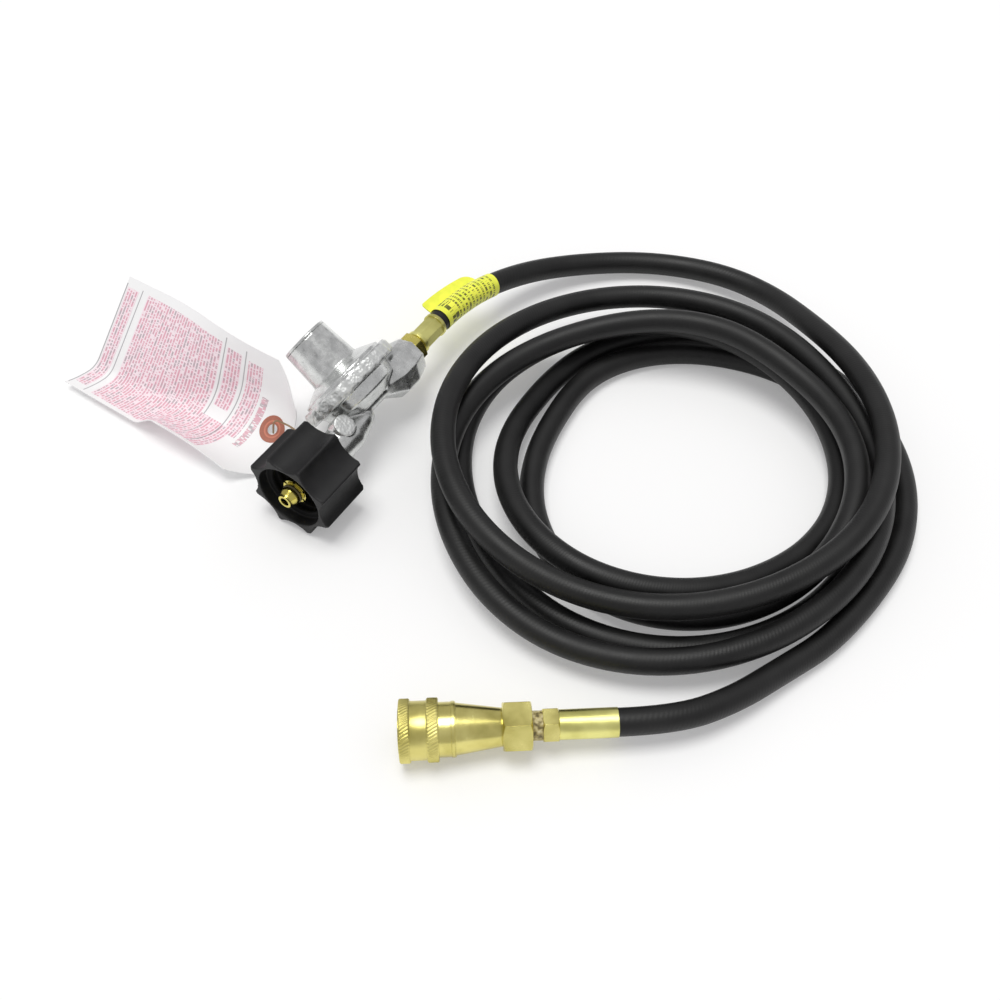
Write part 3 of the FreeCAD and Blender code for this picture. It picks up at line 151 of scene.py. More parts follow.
# The height and depth of the curl and the wave of the tag's lower edge, where the wave rises and
# falls along the tag, and the lift of the corner past the hole
TAG_CURL, CURL_DEPTH = 5.0, 24
TAG_WAVE, WAVE_DEPTH = 11.0, 32
WAVE_START, WAVE_FULL, WAVE_END, WAVE_FALL = 56, 74, 142, 55
CORNER_LIFT, CORNER_LIFT_START, CORNER_LIFT_ACROSS, CORNER_LIFT_RISE = 0.022, 121, 40, 30

# The coupler's sleeve along its line, in millimetres
SLEEVE_START, REAR_BAND_END, FRONT_BAND_START, SLEEVE_END = 83.7, 89.1, 97.0, 102.0
SLEEVE_BAND, SLEEVE_WAIST, WAIST_DIP, WAIST_SLOPE = 15.0, 13.9, 0.15, 0.6
SLEEVE_BORE, SLEEVE_LAND, SLEEVE_MOUTH = 12.95, 11.15, 12.7
LAND_START, MOUTH_START = 94.5, 97.2
BAND_EDGE, BAND_ROWS = 0.5, 8
KNURL_DEPTH, STEPS_PER_TOOTH = 0.45, 6

# The floor, the light and the camera
FLOOR_SIZE, FLOOR_WHITE_SHARE = 60, 0.25
WORLD_COLOUR, WORLD_STRENGTH = (0.99, 0.98, 1, 1), 0.53
KEY_WAY, KEY_SOFTNESS = (-0.2, 0.05, 1.6), math.radians(32)
KEY_COLOUR, KEY_STRENGTH = (1, 1, 0.98), 1.65
CAMERA_POINT = Vector((0, -455.1, 542.4)) * MM + SHIFT
SENSOR_WIDTH = 36


class Value:
    """One socket of a material, with the arithmetic that the finishes use."""

    def __init__(self, finish, socket):
        self.finish = finish
        self.socket = socket

    def combine(self, operation, *others):
        return self.finish.node("ShaderNodeMath", {"operation": operation}, [self, *others])[0]

    def __add__(self, other):
        return self.combine("ADD", other)

    def __sub__(self, other):
        return self.combine("SUBTRACT", other)

    def __rsub__(self, other):
        return self.finish.node("ShaderNodeMath", {"operation": "SUBTRACT"}, [other, self])[0]

    def __mul__(self, other):
        return self.combine("MULTIPLY", other)

    def __truediv__(self, other):
        return self.combine("DIVIDE", other)

    def wave(self):
        return self.combine("SINE")

    def squared(self):
        return self * self

    def root(self):
        return self.combine("SQRT")

    def larger(self, other):
        return self.combine("MAXIMUM", other)

    def fraction(self):
        return self.combine("FRACT")

    def whole(self):
        return self.combine("FLOOR")

    def above(self, level):
        return self.combine("GREATER_THAN", level)

    def below(self, level):
        return self.combine("LESS_THAN", level)

    def ramp(self, low, high, to_low=0.0, to_high=1.0):
        """From one range to another, held at both ends."""
        inputs = {"Value": self, "From Min": low, "From Max": high, "To Min": to_low, "To Max": to_high}
        return self.finish.node("ShaderNodeMapRange", {"clamp": True}, inputs)[0]


class Finish:
    """A material built from its Principled shader outwards."""

    def __init__(self, name, colour, roughness, metallic=0.0, **constants):
        self.material = bpy.data.materials.new(name)
        self.material.use_nodes = True
        self.tree = self.material.node_tree
        self.shader = self.tree.nodes["Principled BSDF"]
        self.shader.inputs["Base Color"].default_value = (*colour, 1)
        self.shader.inputs["Roughness"].default_value = roughness
        self.shader.inputs["Metallic"].default_value = metallic
        for socket, value in constants.items():
            self.shader.inputs[socket.replace("_", " ").title().replace("Ior", "IOR")].default_value = value

    def node(self, kind, settings=None, inputs=None):
        """A node of one type, its settings, and the values or links of its sockets."""
        made = self.tree.nodes.new(kind)
        for name, value in (settings or {}).items():
            if name == "stops":
                self.set_stops(made.color_ramp, value)
            else:
                setattr(made, name, value)
        pairs = inputs.items() if isinstance(inputs, dict) else enumerate(inputs or [])
        for name, value in pairs:
            if isinstance(value, Value):
                self.tree.links.new(value.socket, made.inputs[name])
            else:
                made.inputs[name].default_value = value
        return [Value(self, socket) for socket in made.outputs if socket.enabled]

    @staticmethod
    def set_stops(ramp, stops):
        while len(ramp.elements) < len(stops):
            ramp.elements.new(1.0)
        for element, (place, colour) in zip(ramp.elements, stops):
            element.position = place
            element.color = (*colour, 1)

    def coordinates(self, matrix=None):
        """Object coordinates, or those of a line of fittings given by its matrix."""
        place = self.node("ShaderNodeTexCoord")[3]
        if matrix is None:
            return place
        inverse = matrix.inverted()
        settings = {"Vector": place, "Location": inverse.to_translation(), "Rotation": inverse.to_euler()}
        return self.node("ShaderNodeMapping", None, settings)[0]

    def split(self, vector):
        return self.node("ShaderNodeSeparateXYZ", None, {"Vector": vector})

    def noise(self, vector, scale, detail=4.0, roughness=0.5):
        inputs = {"Vector": vector, "Scale": scale, "Detail": detail, "Roughness": roughness}
        return self.node("ShaderNodeTexNoise", None, inputs)[0]

    def cells(self, vector, scale):
        return self.node("ShaderNodeTexVoronoi", None, {"Vector": vector, "Scale": scale})[0]

    def mix(self, factor, first, second):
        colours = [value if isinstance(value, Value) else (*value, 1) for value in (first, second)]
        made = self.node("ShaderNodeMix", {"data_type": "RGBA"}, {0: factor, 6: colours[0], 7: colours[1]})
        return made[0]

    def feed(self, socket, value):
        self.tree.links.new(value.socket, self.shader.inputs[socket])

    def bump(self, height, distance, strength=1.0, radius=0.0):
        """Relief of the given depth in metres, with its edges softened by a radius."""
        inputs = {"Height": height, "Distance": distance, "Strength": strength}
        if radius:
            inputs["Normal"] = self.node("ShaderNodeBevel", {"samples": 4}, {"Radius": radius})[0]
        self.feed("Normal", self.node("ShaderNodeBump", None, inputs)[0])


def cast_zinc(name):
    """Die-cast zinc, cloudy and fine grained, with staked lumps and a coarse side boss that are rougher and
    coloured paler as a painted highlight.
    """
    look = bpy.context.scene.gas_regulator
    finish = Finish(name, look.zinc_colour, 0.25, 0.9)
    place = finish.coordinates()
    across, down, up = finish.split(finish.coordinates(TOWER))
    clouds = finish.noise(place, 70, 4, 0.55)
    grain = finish.noise(place, 900, 3, 0.6)
    patches = finish.noise(place, 240, 3, 0.55)
    reach = (across.squared() + down.squared()).root()
    on_rim = reach.ramp(0.0296, 0.0303) * up.ramp(0.0160, 0.0168) * up.ramp(0.0229, 0.0222)
    aside, above = across + 0.0276, up - 0.0055
    on_boss = (aside.squared() + above.squared()).root().ramp(0.0064, 0.0060) * down.ramp(-0.0093, -0.0099)
    rough_and_highlit_part = on_rim.larger(on_boss)
    darkest, dark, pale = [tuple(value * share for value in look.zinc_colour) for share in (0.6, 0.9, 1.3)]
    cast = finish.mix(clouds.ramp(0.36, 0.64) * 0.6 + patches.ramp(0.4, 0.62) * 0.4, dark, pale)
    pits = patches.ramp(0.36, 0.28) * 0.6
    # The rim's lumps and the side boss's end face are mixed towards the pale colour: a painted highlight.
    finish.feed("Base Color", finish.mix(rough_and_highlit_part * 0.8, finish.mix(pits, cast, darkest), pale))
    finish.feed("Roughness", patches.ramp(0.35, 0.7, 0.19, 0.32) + rough_and_highlit_part * 0.25)
    coarse = finish.cells(place, 620)
    finish.bump(grain * 0.12 + patches * 0.35 + clouds * 0.4 + rough_and_highlit_part * coarse * 1.6, 0.0003, 0.6)
    return finish.material


def bright_brass(name, matrix, colour, rings=0.35 * MM, roughness=0.17):
    """Turned brass with fine rings along its line of fittings."""
    finish = Finish(name, colour, roughness, 1.0)
    place = finish.coordinates(matrix)
    along = finish.split(place)[2]
    clouds = finish.noise(finish.coordinates(), 60, 3)
    fine = finish.noise(finish.coordinates(), 1400, 2)
    turning = (along * (2 * math.pi / rings)).wave()
    pale = tuple(min(1.0, value * 1.12) for value in colour)
    dull = tuple(value * factor for value, factor in zip(colour, (0.78, 0.76, 0.6)))
    finish.feed("Base Color", finish.mix(clouds.ramp(0.35, 0.65), dull, pale))
    finish.feed("Roughness", clouds.ramp(0.3, 0.7, roughness * 0.75, roughness * 1.5) + fine * 0.06)
    finish.bump(turning * 0.35 + fine, 0.00003, 0.4, 0.0004)
    return finish.material


def hose_rubber(name):
    """Black rubber with the print of the cloth that it was cured in, along its own length."""
    look = bpy.context.scene.gas_hose
    finish = Finish(name, look.rubber_colour, 0.42, 0.0, specular_ior_level=0.38)
    uv = finish.split(finish.node("ShaderNodeTexCoord")[2])
    along, around = uv[0] * HOSE_LENGTH, uv[1]
    pitch = look.wrap_pitch
    threads = ((along / pitch + around * 6) * (2 * math.pi)).wave()
    cross = ((around * 84 + along / pitch * 0.4) * (2 * math.pi)).wave()
    place = finish.coordinates()
    clouds = finish.noise(place, 45, 4)
    grain = finish.noise(place, 1500, 3)
    dark, pale = [tuple(value * share for value in look.rubber_colour) for share in (0.7, 1.5)]
    finish.feed("Base Color", finish.mix(clouds.ramp(0.35, 0.7), dark, pale))
    finish.feed("Roughness", clouds.ramp(0.3, 0.7, 0.36, 0.48) + grain * 0.08)
    finish.bump(threads * 0.5 + cross * 0.3 + grain * 0.6, 0.00006, 0.5)
    return finish.material


def nut_plastic(name):
    """Moulded black plastic with a fine sparked texture and slightly shiny crests, and painted shade, near
    black, in the bore.
    """
    look = bpy.context.scene.gas_regulator
    finish = Finish(name, look.nut_colour, 0.5, 0.0, specular_ior_level=0.35)
    place = finish.coordinates()
    spark = finish.cells(place, 1600)
    clouds = finish.noise(place, 120, 3)
    across, upward = finish.split(finish.coordinates(GAS))[:2]
    # The bore inside the nut is coloured near black as painted shade, and made rougher.
    inside = (across.squared() + upward.squared()).root().ramp(0.0194, 0.0188)
    dark, pale = [tuple(value * share for value in look.nut_colour) for share in (0.7, 1.3)]
    worn = finish.mix(clouds.ramp(0.3, 0.7), dark, pale)
    finish.feed("Base Color", finish.mix(inside, worn, (0.002, 0.002, 0.002)))
    finish.feed("Roughness", clouds.ramp(0.3, 0.7, 0.45, 0.58) + inside * 0.3)
    finish.bump(spark + clouds * 0.5, 0.0001, 0.5)
    return finish.material


def printed_film(name):
    """Fluorescent film with generic rows of dark dashes round the hose, and a bare flag."""
    look = bpy.context.scene.gas_hose
    finish = Finish(name, look.label_colour, 0.38)
    around, along = finish.split(finish.node("ShaderNodeTexCoord")[2])[:2]
    rows = along * LABEL_ROWS
    row, within = rows.whole(), rows.fraction()
    bold = row.below(2.5)
    marks = finish.node("ShaderNodeCombineXYZ", None, [around * (85 - bold * 40), row * 7.3])[0]
    dashes = finish.noise(marks, 1.0, 1.0).ramp(0.47, 0.53)
    printed = around.ramp(0.17, 0.2) * around.ramp(0.80, 0.77) * row.above(0.5) * row.below(LABEL_ROWS - 1.5)
    line = within.ramp(0.24, 0.32) * within.ramp(0.80, 0.72)
    ink = dashes * line.larger(bold * within.ramp(0.05, 0.1)) * printed
    clouds = finish.noise(finish.coordinates(), 160, 3)
    pale = tuple(min(1.0, value * 1.15) for value in look.label_colour)
    film = finish.mix(clouds.ramp(0.35, 0.65), look.label_colour, pale)
    finish.feed("Base Color", finish.mix(ink * 0.9, film, (0.03, 0.04, 0.01)))
    finish.feed("Roughness", clouds.ramp(0.3, 0.7, 0.3, 0.45))
    finish.bump(clouds, 0.0004, 0.35)
    return finish.material


def printed_sheet(name):
    """White coated sheet with generic rows of small pink and grey dashes, and thin ruled lines."""
    look = bpy.context.scene.gas_tag
    finish = Finish(name, look.sheet_colour, 0.45)
    length, across = finish.split(finish.node("ShaderNodeTexCoord")[2])[:2]
    length, across = length * TAG_LENGTH, across * TAG_WIDTH
    rows = length / 2.0
    row, within = rows.whole(), rows.fraction()
    marks = finish.node("ShaderNodeCombineXYZ", None, [across * 0.95, row * 5.7])[0]
    dashes = finish.noise(marks, 1.0, 1.0).ramp(0.42, 0.47)

    def between(value, low, high):
        return value.ramp(low - 0.3, low) * value.ramp(high + 0.3, high)

    blocks = [(1.8, 10.5, 6, 74), (18, 80, 3, 75), (80, 104, 3, 30), (84, 94, 38, 74), (99, 109, 26, 73)]
    field = None
    for low, high, bottom, top in blocks:
        block = between(length, low, high) * between(across, bottom, top)
        field = block if field is None else field.larger(block)
    bold = between(length, 111.5, 116) * between(across, 22, 56)
    lines = between(length, 12.9, 13.3) * between(across, 2, 76)
    lines = lines.larger(between(length, 82, 82.4) * between(across, 30, 79))
    lines = lines.larger(between(length, 96.5, 96.9) * between(across, 6, 78))
    lines = lines.larger(between(length, 0.3, 0.8) * between(across, 2, 76))
    broad = finish.noise(marks, 0.21, 1.0)
    tint = finish.mix(broad.ramp(0.38, 0.52), (0.24, 0.20, 0.23), look.print_colour)
    clouds = finish.noise(finish.coordinates(), 60, 3)
    sheet = finish.mix(field * 0.55, look.sheet_colour, (0.97, 0.72, 0.80))
    ink = (field * dashes * within.ramp(0.2, 0.32) * within.ramp(0.9, 0.78)).larger(bold * dashes)
    printed = finish.mix(ink * 0.62, sheet, tint)
    finish.feed("Base Color", finish.mix(lines * 0.7, printed, (0.22, 0.21, 0.23)))
    finish.feed("Roughness", clouds.ramp(0.3, 0.7, 0.4, 0.55))
    finish.bump(clouds, 0.0008, 0.3)
    return finish.material


def patch_paper(name):
    """The terracotta patch, with a pressed ring round the hole."""
    look = bpy.context.scene.gas_tag
    finish = Finish(name, look.patch_colour, 0.6)
    length, across = finish.split(finish.node("ShaderNodeTexCoord")[2])[:2]
    sideways = length * TAG_LENGTH - TAG_HOLE[0]
    upwards = across * TAG_WIDTH - TAG_HOLE[1]
    reach = (sideways.squared() + upwards.squared()).root()
    ring = reach.ramp(4.2, 4.6) * reach.ramp(5.6, 5.2)
    clouds = finish.noise(finish.coordinates(), 400, 3)
    dark = tuple(value * 0.7 for value in look.patch_colour)
    pale = tuple(value * 1.35 for value in look.patch_colour)
    finish.feed("Base Color", finish.mix(ring * 0.8, finish.mix(clouds, dark, look.patch_colour), pale))
    finish.bump(clouds + ring, 0.0002, 0.5)
    return finish.material


def plain_rubber(name, colour=(0.02, 0.02, 0.02)):
    finish = Finish(name, colour, 0.45)
    grain = finish.noise(finish.coordinates(), 800, 3)
    finish.feed("Roughness", grain.ramp(0.3, 0.7, 0.38, 0.55))
    finish.bump(grain, 0.00005, 0.4)
    return finish.material


def dark_plastic(name):
    finish = Finish(name, (0.05, 0.05, 0.055), 0.5)
    grain = finish.cells(finish.coordinates(), 1200)
    finish.feed("Roughness", grain.ramp(0.0, 0.8, 0.4, 0.6))
    finish.bump(grain, 0.00006, 0.4)
    return finish.material


def wound_steel(name, matrix, pitch):
    """Spring steel whose turns show as ridges along the spring, with painted shade between the turns."""
    finish = Finish(name, (0.52, 0.52, 0.54), 0.3, 1.0)
    along = finish.split(finish.coordinates(matrix))[2]
    turns = (along * (2 * math.pi / pitch)).wave()
    grain = finish.noise(finish.coordinates(), 900, 2)
    # Dark between the turns: painted shade in the gaps of the spring.
    finish.feed("Base Color", finish.mix(turns.ramp(-1, 0.2), (0.08, 0.08, 0.085), (0.56, 0.56, 0.58)))
    finish.feed("Roughness", grain.ramp(0.3, 0.7, 0.24, 0.4))
    finish.bump(turns, 0.0006, 0.6)
    return finish.material


def bright_steel(name):
    finish = Finish(name, (0.6, 0.6, 0.61), 0.25, 1.0)
    grain = finish.noise(finish.coordinates(), 700, 3)
    finish.feed("Roughness", grain.ramp(0.3, 0.7, 0.16, 0.34))
    finish.bump(grain, 0.00003, 0.3)
    return finish.material


def thread_paste(name):
    """Dried tan thread sealant, darker in the low parts of its lumps as painted shade."""
    finish = Finish(name, (0.5, 0.42, 0.2), 0.55)
    lumps = finish.noise(finish.coordinates(), 450, 3)
    # The colour follows the lumps' height: dark in the low parts, as painted shade.
    stops = [(0.36, (0.14, 0.11, 0.04)), (0.5, (0.46, 0.38, 0.16)), (0.68, (0.70, 0.64, 0.40))]
    shade = finish.node("ShaderNodeValToRGB", {"stops": stops}, {"Fac": lumps})[0]
    finish.feed("Base Color", shade)
    finish.bump(lumps, 0.0004, 0.7)
    return finish.material


def turned(profile, steps):
    """A profile of (radius, height) points spun about the Z axis, in millimetres."""
    mesh = bmesh.new()
    points = [mesh.verts.new((radius, 0, height)) for radius, height in profile]
    edges = [mesh.edges.new(pair) for pair in zip(points, points[1:] + points[:1])]
    bmesh.ops.spin(mesh, geom=points + edges, cent=(0, 0, 0), axis=(0, 0, 1), angle=2 * math.pi,
                   steps=steps, use_merge=True)
    bmesh.ops.remove_doubles(mesh, verts=mesh.verts, dist=1e-4)
    return mesh


def finished(mesh, name, material, body, smooth_under=35):
    """A bmesh as an object at the origin, shaded smooth where it turns by less than an angle."""
    data = bpy.data.meshes.new(name)
    limit = math.radians(smooth_under)
    for face in mesh.faces:
        face.smooth = True
    for edge in mesh.edges:
        edge.smooth = len(edge.link_faces) == 2 and edge.calc_face_angle(0) < limit
    mesh.to_mesh(data)
    mesh.free()
    data.materials.append(material)
    made = bpy.data.objects.new(name, data)
    bpy.context.scene.collection.objects.link(made)
    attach(made, body)
    return made


def merged_copy(node):
    """A node's mesh with its loose triangles joined."""
    mesh = bmesh.new()
    mesh.from_mesh(frame["nodes"][node].data)
    bmesh.ops.remove_doubles(mesh, verts=mesh.verts, dist=2e-6)
    return mesh


def smooth_copy(node, material):
    """A node shown by a joined copy of itself that is shaded smooth."""
    body = frame["nodes"][node]["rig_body"]
    made = finished(merged_copy(node), node + "_surface", material, body, smooth_under=28)
    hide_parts(node)


def cast_copy(node, material, voxel, rounds):
    """A node with the rounded edges and corners of a casting or a moulding."""
    body = frame["nodes"][node]["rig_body"]
    rough = finished(merged_copy(node), node + "_rough", material, body)
    remesh = rough.modifiers.new("skin", "REMESH")
    remesh.mode = "VOXEL"
    remesh.voxel_size = voxel
    bpy.context.view_layer.update()
    skin = bmesh.new()
    evaluated = rough.evaluated_get(bpy.context.evaluated_depsgraph_get())
    skin.from_mesh(evaluated.to_mesh())
    evaluated.to_mesh_clear()
    bpy.data.objects.remove(rough)
    for _ in range(rounds):
        bmesh.ops.smooth_vert(skin, verts=skin.verts, factor=0.5, use_axis_x=True, use_axis_y=True,
                              use_axis_z=True)
    made = finished(skin, node + "_surface", material, body, 180)
    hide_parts(node)


def dress(node, material):
    """A node keeps its own shape and gets a finish."""
    shown = frame["nodes"][node]
    for slot in shown.material_slots:
        slot.material = material
    if not shown.material_slots:
        shown.data.materials.append(material)


def hose_stations(start, end, count):
    """Places along the hose's own smooth curve, between two lengths in millimetres, with its way there."""
    line = hose_curve("hose line", 0)
    mesh = bpy.data.meshes.new_from_object(line)
    places = [vertex.co.copy() for vertex in mesh.vertices]
    curve = line.data
    bpy.data.objects.remove(line)
    bpy.data.curves.remove(curve)
    bpy.data.meshes.remove(mesh)
    wanted = [(start + (end - start) * index / (count - 1)) * MM for index in range(count)]
    found = []
    passed = 0.0
    for first, second in zip(places, places[1:]):
        run = (second - first).length
        while wanted and wanted[0] <= passed + run:
            found.append((first.lerp(second, (wanted.pop(0) - passed) / run), (second - first).normalized()))
        passed += run
        if not wanted:
            break
    return found


def flag_share(along):
    """How much of the flag's height stands at one length along the label, from 0 to 1."""
    if along < FLAG_ROUNDED:
        return 0.85 + 0.15 * math.sqrt(1 - (1 - along / FLAG_ROUNDED) ** 2)
    if along < FLAG_TAPER_START:
        return 1 - FLAG_DROP * (along - FLAG_ROUNDED) / (FLAG_TAPER_START - FLAG_ROUNDED)
    return (1 - FLAG_DROP) * math.sqrt(max(0.0, 1 - ((along - FLAG_TAPER_START) / FLAG_TAPER) ** 2))


def wrapped_label(name, material):
    """The label round the hose, as one sheet that starts and ends in the flag."""
    stations = hose_stations(LABEL_START, LABEL_END, LABEL_STEPS_ALONG + 1)
    mesh = bmesh.new()
    uv = mesh.loops.layers.uv.new("UVMap")
    bmesh.ops.create_grid(mesh, x_segments=LABEL_STEPS_ROUND, y_segments=LABEL_STEPS_ALONG, size=0.5,
                          calc_uvs=True)
    wrap = 2 * math.pi * LABEL_RADIUS
    total = wrap + 2 * LABEL_FLAG
    gap = FLAG_HALF_GAP / LABEL_RADIUS
    flats = {vertex: (vertex.co.x + 0.5, vertex.co.y + 0.5) for vertex in mesh.verts}
    for face in mesh.faces:
        for loop in face.loops:
            loop[uv].uv = flats[loop.vert]
    for vertex, (round_share, along_share) in flats.items():
        place, way = stations[min(LABEL_STEPS_ALONG, round(along_share * LABEL_STEPS_ALONG))]
        up = (LABEL_UP - way * LABEL_UP.dot(way)).normalized()
        side = way.cross(up)
        share = flag_share(along_share * (LABEL_END - LABEL_START))
        passed = round_share * total
        near = min(passed, total - passed)
        if near < LABEL_FLAG:
            reach = LABEL_RADIUS + (LABEL_FLAG - near) * share
            sway = FLAG_HALF_GAP if passed < total / 2 else -FLAG_HALF_GAP
            curl = FLAG_CURL * ((LABEL_FLAG - near) / LABEL_FLAG) ** 2 * share
            vertex.co = place + (up * reach + side * (sway + curl)) * MM
        else:
            angle = gap + (passed - LABEL_FLAG) / wrap * (2 * math.pi - 2 * gap)
            vertex.co = place + (up * math.cos(angle) + side * math.sin(angle)) * LABEL_RADIUS * MM
    made = finished(mesh, name, material, "base", 180)
    thick = made.modifiers.new("thickness", "SOLIDIFY")
    thick.thickness = LABEL_THICKNESS * MM
    thick.offset = 0
    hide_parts("hose_label")
    return made


def smooth_share(value, low, high):
    """From 0 at one value to 1 at another, leaving and arriving level."""
    share = min(1.0, max(0.0, (value - low) / (high - low)))
    return share * share * (3 - 2 * share)


def on_tag(length, across, proud=0.0):
    """Where a point of the flat tag lies once the sheet is bent, in metres."""
    wave = smooth_share(length, WAVE_START, WAVE_FULL)
    wave *= math.sin(math.pi / 2 * min(1.0, max(0.0, WAVE_END - length) / WAVE_FALL))
    lift = TAG_CURL * max(0.0, 1 - across / CURL_DEPTH) ** 2
    lift += TAG_WAVE * wave * max(0.0, 1 - across / WAVE_DEPTH) ** 2
    corner = min(1.0, max(0.0, across - CORNER_LIFT_ACROSS) / CORNER_LIFT_RISE)
    lift += CORNER_LIFT * max(0.0, length - CORNER_LIFT_START) ** 2 * corner
    near_hole = smooth_share(length, FREE_BEND_END, HOLE_BEND_START)
    radius = FREE_BEND_RADIUS + (HOLE_BEND_RADIUS - FREE_BEND_RADIUS) * near_hole
    bend = FREE_BEND + (HOLE_BEND - FREE_BEND) * near_hole
    flat = FREE_FLAT + (HOLE_FLAT - FREE_FLAT) * near_hole
    if across < flat:
        x, y, angle = across, TAG_REST, 0.0
    else:
        angle = min(bend, (across - flat) / radius)
        rise = across - flat - angle * radius
        x = flat + math.sin(angle) * radius + math.cos(angle) * rise
        y = TAG_REST + radius - math.cos(angle) * radius + math.sin(angle) * rise
    x -= math.sin(angle) * (proud + lift)
    y += math.cos(angle) * (proud + lift)
    return TAG @ (Vector((x, y, length)) * MM)


def bent_sheet(name, outline, material, thickness, proud=0.0):
    """A flat outline with the tag's hole in it, cut small enough to bend, bent with the tag."""
    mesh = bmesh.new()
    uv = mesh.loops.layers.uv.new("UVMap")
    corners = [mesh.verts.new((*corner, 0)) for corner in outline]
    for pair in zip(corners, corners[1:] + corners[:1]):
        mesh.edges.new(pair)
    hole = Matrix.Translation((*TAG_HOLE, 0))
    bmesh.ops.create_circle(mesh, segments=32, radius=TAG_HOLE_RADIUS, matrix=hole)
    bmesh.ops.triangle_fill(mesh, use_beauty=True, edges=mesh.edges[:], normal=(0, 0, 1))
    low = [min(corner[axis] for corner in outline) for axis in (0, 1)]
    high = [max(corner[axis] for corner in outline) for axis in (0, 1)]
    for axis, step in enumerate(SHEET_STEPS):
        way = (1, 0, 0) if axis == 0 else (0, 1, 0)
        for index in range(1, int((high[axis] - low[axis]) / step)):
            cut = low[axis] + index * step
            bmesh.ops.bisect_plane(mesh, geom=mesh.verts[:] + mesh.edges[:] + mesh.faces[:], dist=1e-5,
                                   plane_co=[cut * part for part in way], plane_no=way)
    for face in mesh.faces:
        for loop in face.loops:
            loop[uv].uv = (loop.vert.co.x / TAG_LENGTH, loop.vert.co.y / TAG_WIDTH)
    for vertex in mesh.verts:
        vertex.co = on_tag(vertex.co.x, vertex.co.y, proud)
    bmesh.ops.recalc_face_normals(mesh, faces=mesh.faces)
    made = finished(mesh, name, material, "tag", 180)
    thick = made.modifiers.new("thickness", "SOLIDIFY")
    thick.thickness = thickness * MM
    thick.offset = 0
    return made


def knurled_sleeve(name, material):
    """The coupler's sleeve, its two bands cut with slanted teeth."""
    look = bpy.context.scene.gas_coupler
    shoulder = SLEEVE_BAND - BAND_EDGE
    waist = SLEEVE_WAIST - WAIST_DIP
    profile = [(SLEEVE_BORE, SLEEVE_START), (shoulder, SLEEVE_START)]
    for start, end in ((SLEEVE_START, REAR_BAND_END), (FRONT_BAND_START, SLEEVE_END)):
        run = end - start - 2 * BAND_EDGE
        profile += [(SLEEVE_BAND, start + BAND_EDGE + run * row / BAND_ROWS) for row in range(BAND_ROWS + 1)]
        if end == REAR_BAND_END:
            profile += [(shoulder, end), (SLEEVE_WAIST, end), (waist, end + WAIST_SLOPE),
                        (waist, FRONT_BAND_START - WAIST_SLOPE), (SLEEVE_WAIST, FRONT_BAND_START),
                        (shoulder, FRONT_BAND_START)]
    profile += [(shoulder, SLEEVE_END), (SLEEVE_MOUTH, SLEEVE_END), (SLEEVE_LAND, MOUTH_START),
                (SLEEVE_LAND, LAND_START), (SLEEVE_BORE, LAND_START)]
    mesh = turned(profile, look.knurl_starts * STEPS_PER_TOOTH)
    twist = math.tan(look.knurl_lean) / SLEEVE_BAND
    for vertex in mesh.verts:
        x, y, z = vertex.co
        if math.hypot(x, y) > SLEEVE_BAND - 0.05:
            turns = (math.atan2(y, x) + z * twist) * look.knurl_starts / (2 * math.pi)
            tooth = abs(2 * (turns - math.floor(turns)) - 1)
            share = 1 - KNURL_DEPTH / SLEEVE_BAND * tooth
            vertex.co = (x * share, y * share, z)
    bmesh.ops.recalc_face_normals(mesh, faces=mesh.faces)
    bmesh.ops.transform(mesh, matrix=COUPLER @ Matrix.Scale(MM, 4), verts=mesh.verts)
    made = finished(mesh, name, material, "sleeve", smooth_under=24)
    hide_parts("coupler_sleeve")


class HoseLook(bpy.types.PropertyGroup):
    diameter: FloatProperty(name="Diameter", description="Outside of the hose", default=0.0135,
                            unit="LENGTH")
    wrap_pitch: FloatProperty(name="Wrap pitch", description="Spacing of the cloth print along the hose",
                              default=0.0016, unit="LENGTH")
    rubber_colour: FloatVectorProperty(name="Rubber", description="Colour of the hose", subtype="COLOR",
                                       default=(0.0075, 0.0075, 0.0074))
    label_colour: FloatVectorProperty(name="Label", description="Colour of the wrapped label",
                                      subtype="COLOR", default=(0.86, 0.92, 0.08))


class RegulatorLook(bpy.types.PropertyGroup):
    zinc_colour: FloatVectorProperty(name="Zinc", description="Colour of the castings", subtype="COLOR",
                                     default=(0.62, 0.63, 0.62))
    nut_colour: FloatVectorProperty(name="Nut", description="Colour of the cylinder nut", subtype="COLOR",
                                    default=(0.009, 0.009, 0.0095))
    brass_colour: FloatVectorProperty(name="Inlet and outlet brass", subtype="COLOR",
                                      description="Colour of the brass on the regulator",
                                      default=(0.72, 0.63, 0.17))
    ferrule_colour: FloatVectorProperty(name="Ferrule plating", subtype="COLOR",
                                        description="Colour of the ferrule on the regulator",
                                        default=(0.76, 0.73, 0.27))
    casting_detail: FloatProperty(name="Casting detail", default=0.0006, unit="LENGTH",
                                  description="Grid on which the castings are rounded")


class CouplerLook(bpy.types.PropertyGroup):
    brass_colour: FloatVectorProperty(name="Coupler brass", description="Colour of the coupler",
                                      subtype="COLOR", default=(0.75, 0.68, 0.25))
    ferrule_colour: FloatVectorProperty(name="Ferrule plating", subtype="COLOR",
                                        description="Colour of the coupler's ferrule",
                                        default=(0.76, 0.73, 0.27))
    knurl_starts: IntProperty(name="Knurl starts", description="Teeth round each band of the sleeve",
                              default=56)
    knurl_lean: FloatProperty(name="Knurl lean", description="Lean of the teeth from the sleeve's line",
                              subtype="ANGLE", default=math.radians(30))


class TagLook(bpy.types.PropertyGroup):
    sheet_colour: FloatVectorProperty(name="Sheet", description="Colour of the tag", subtype="COLOR",
                                      default=(0.93, 0.93, 0.93))
    print_colour: FloatVectorProperty(name="Print", description="Colour of the bars printed on the tag",
                                      subtype="COLOR", default=(0.66, 0.16, 0.27))
    patch_colour: FloatVectorProperty(name="Patch", description="Colour of the patch round the hole",
                                      subtype="COLOR", default=(0.48, 0.17, 0.11))


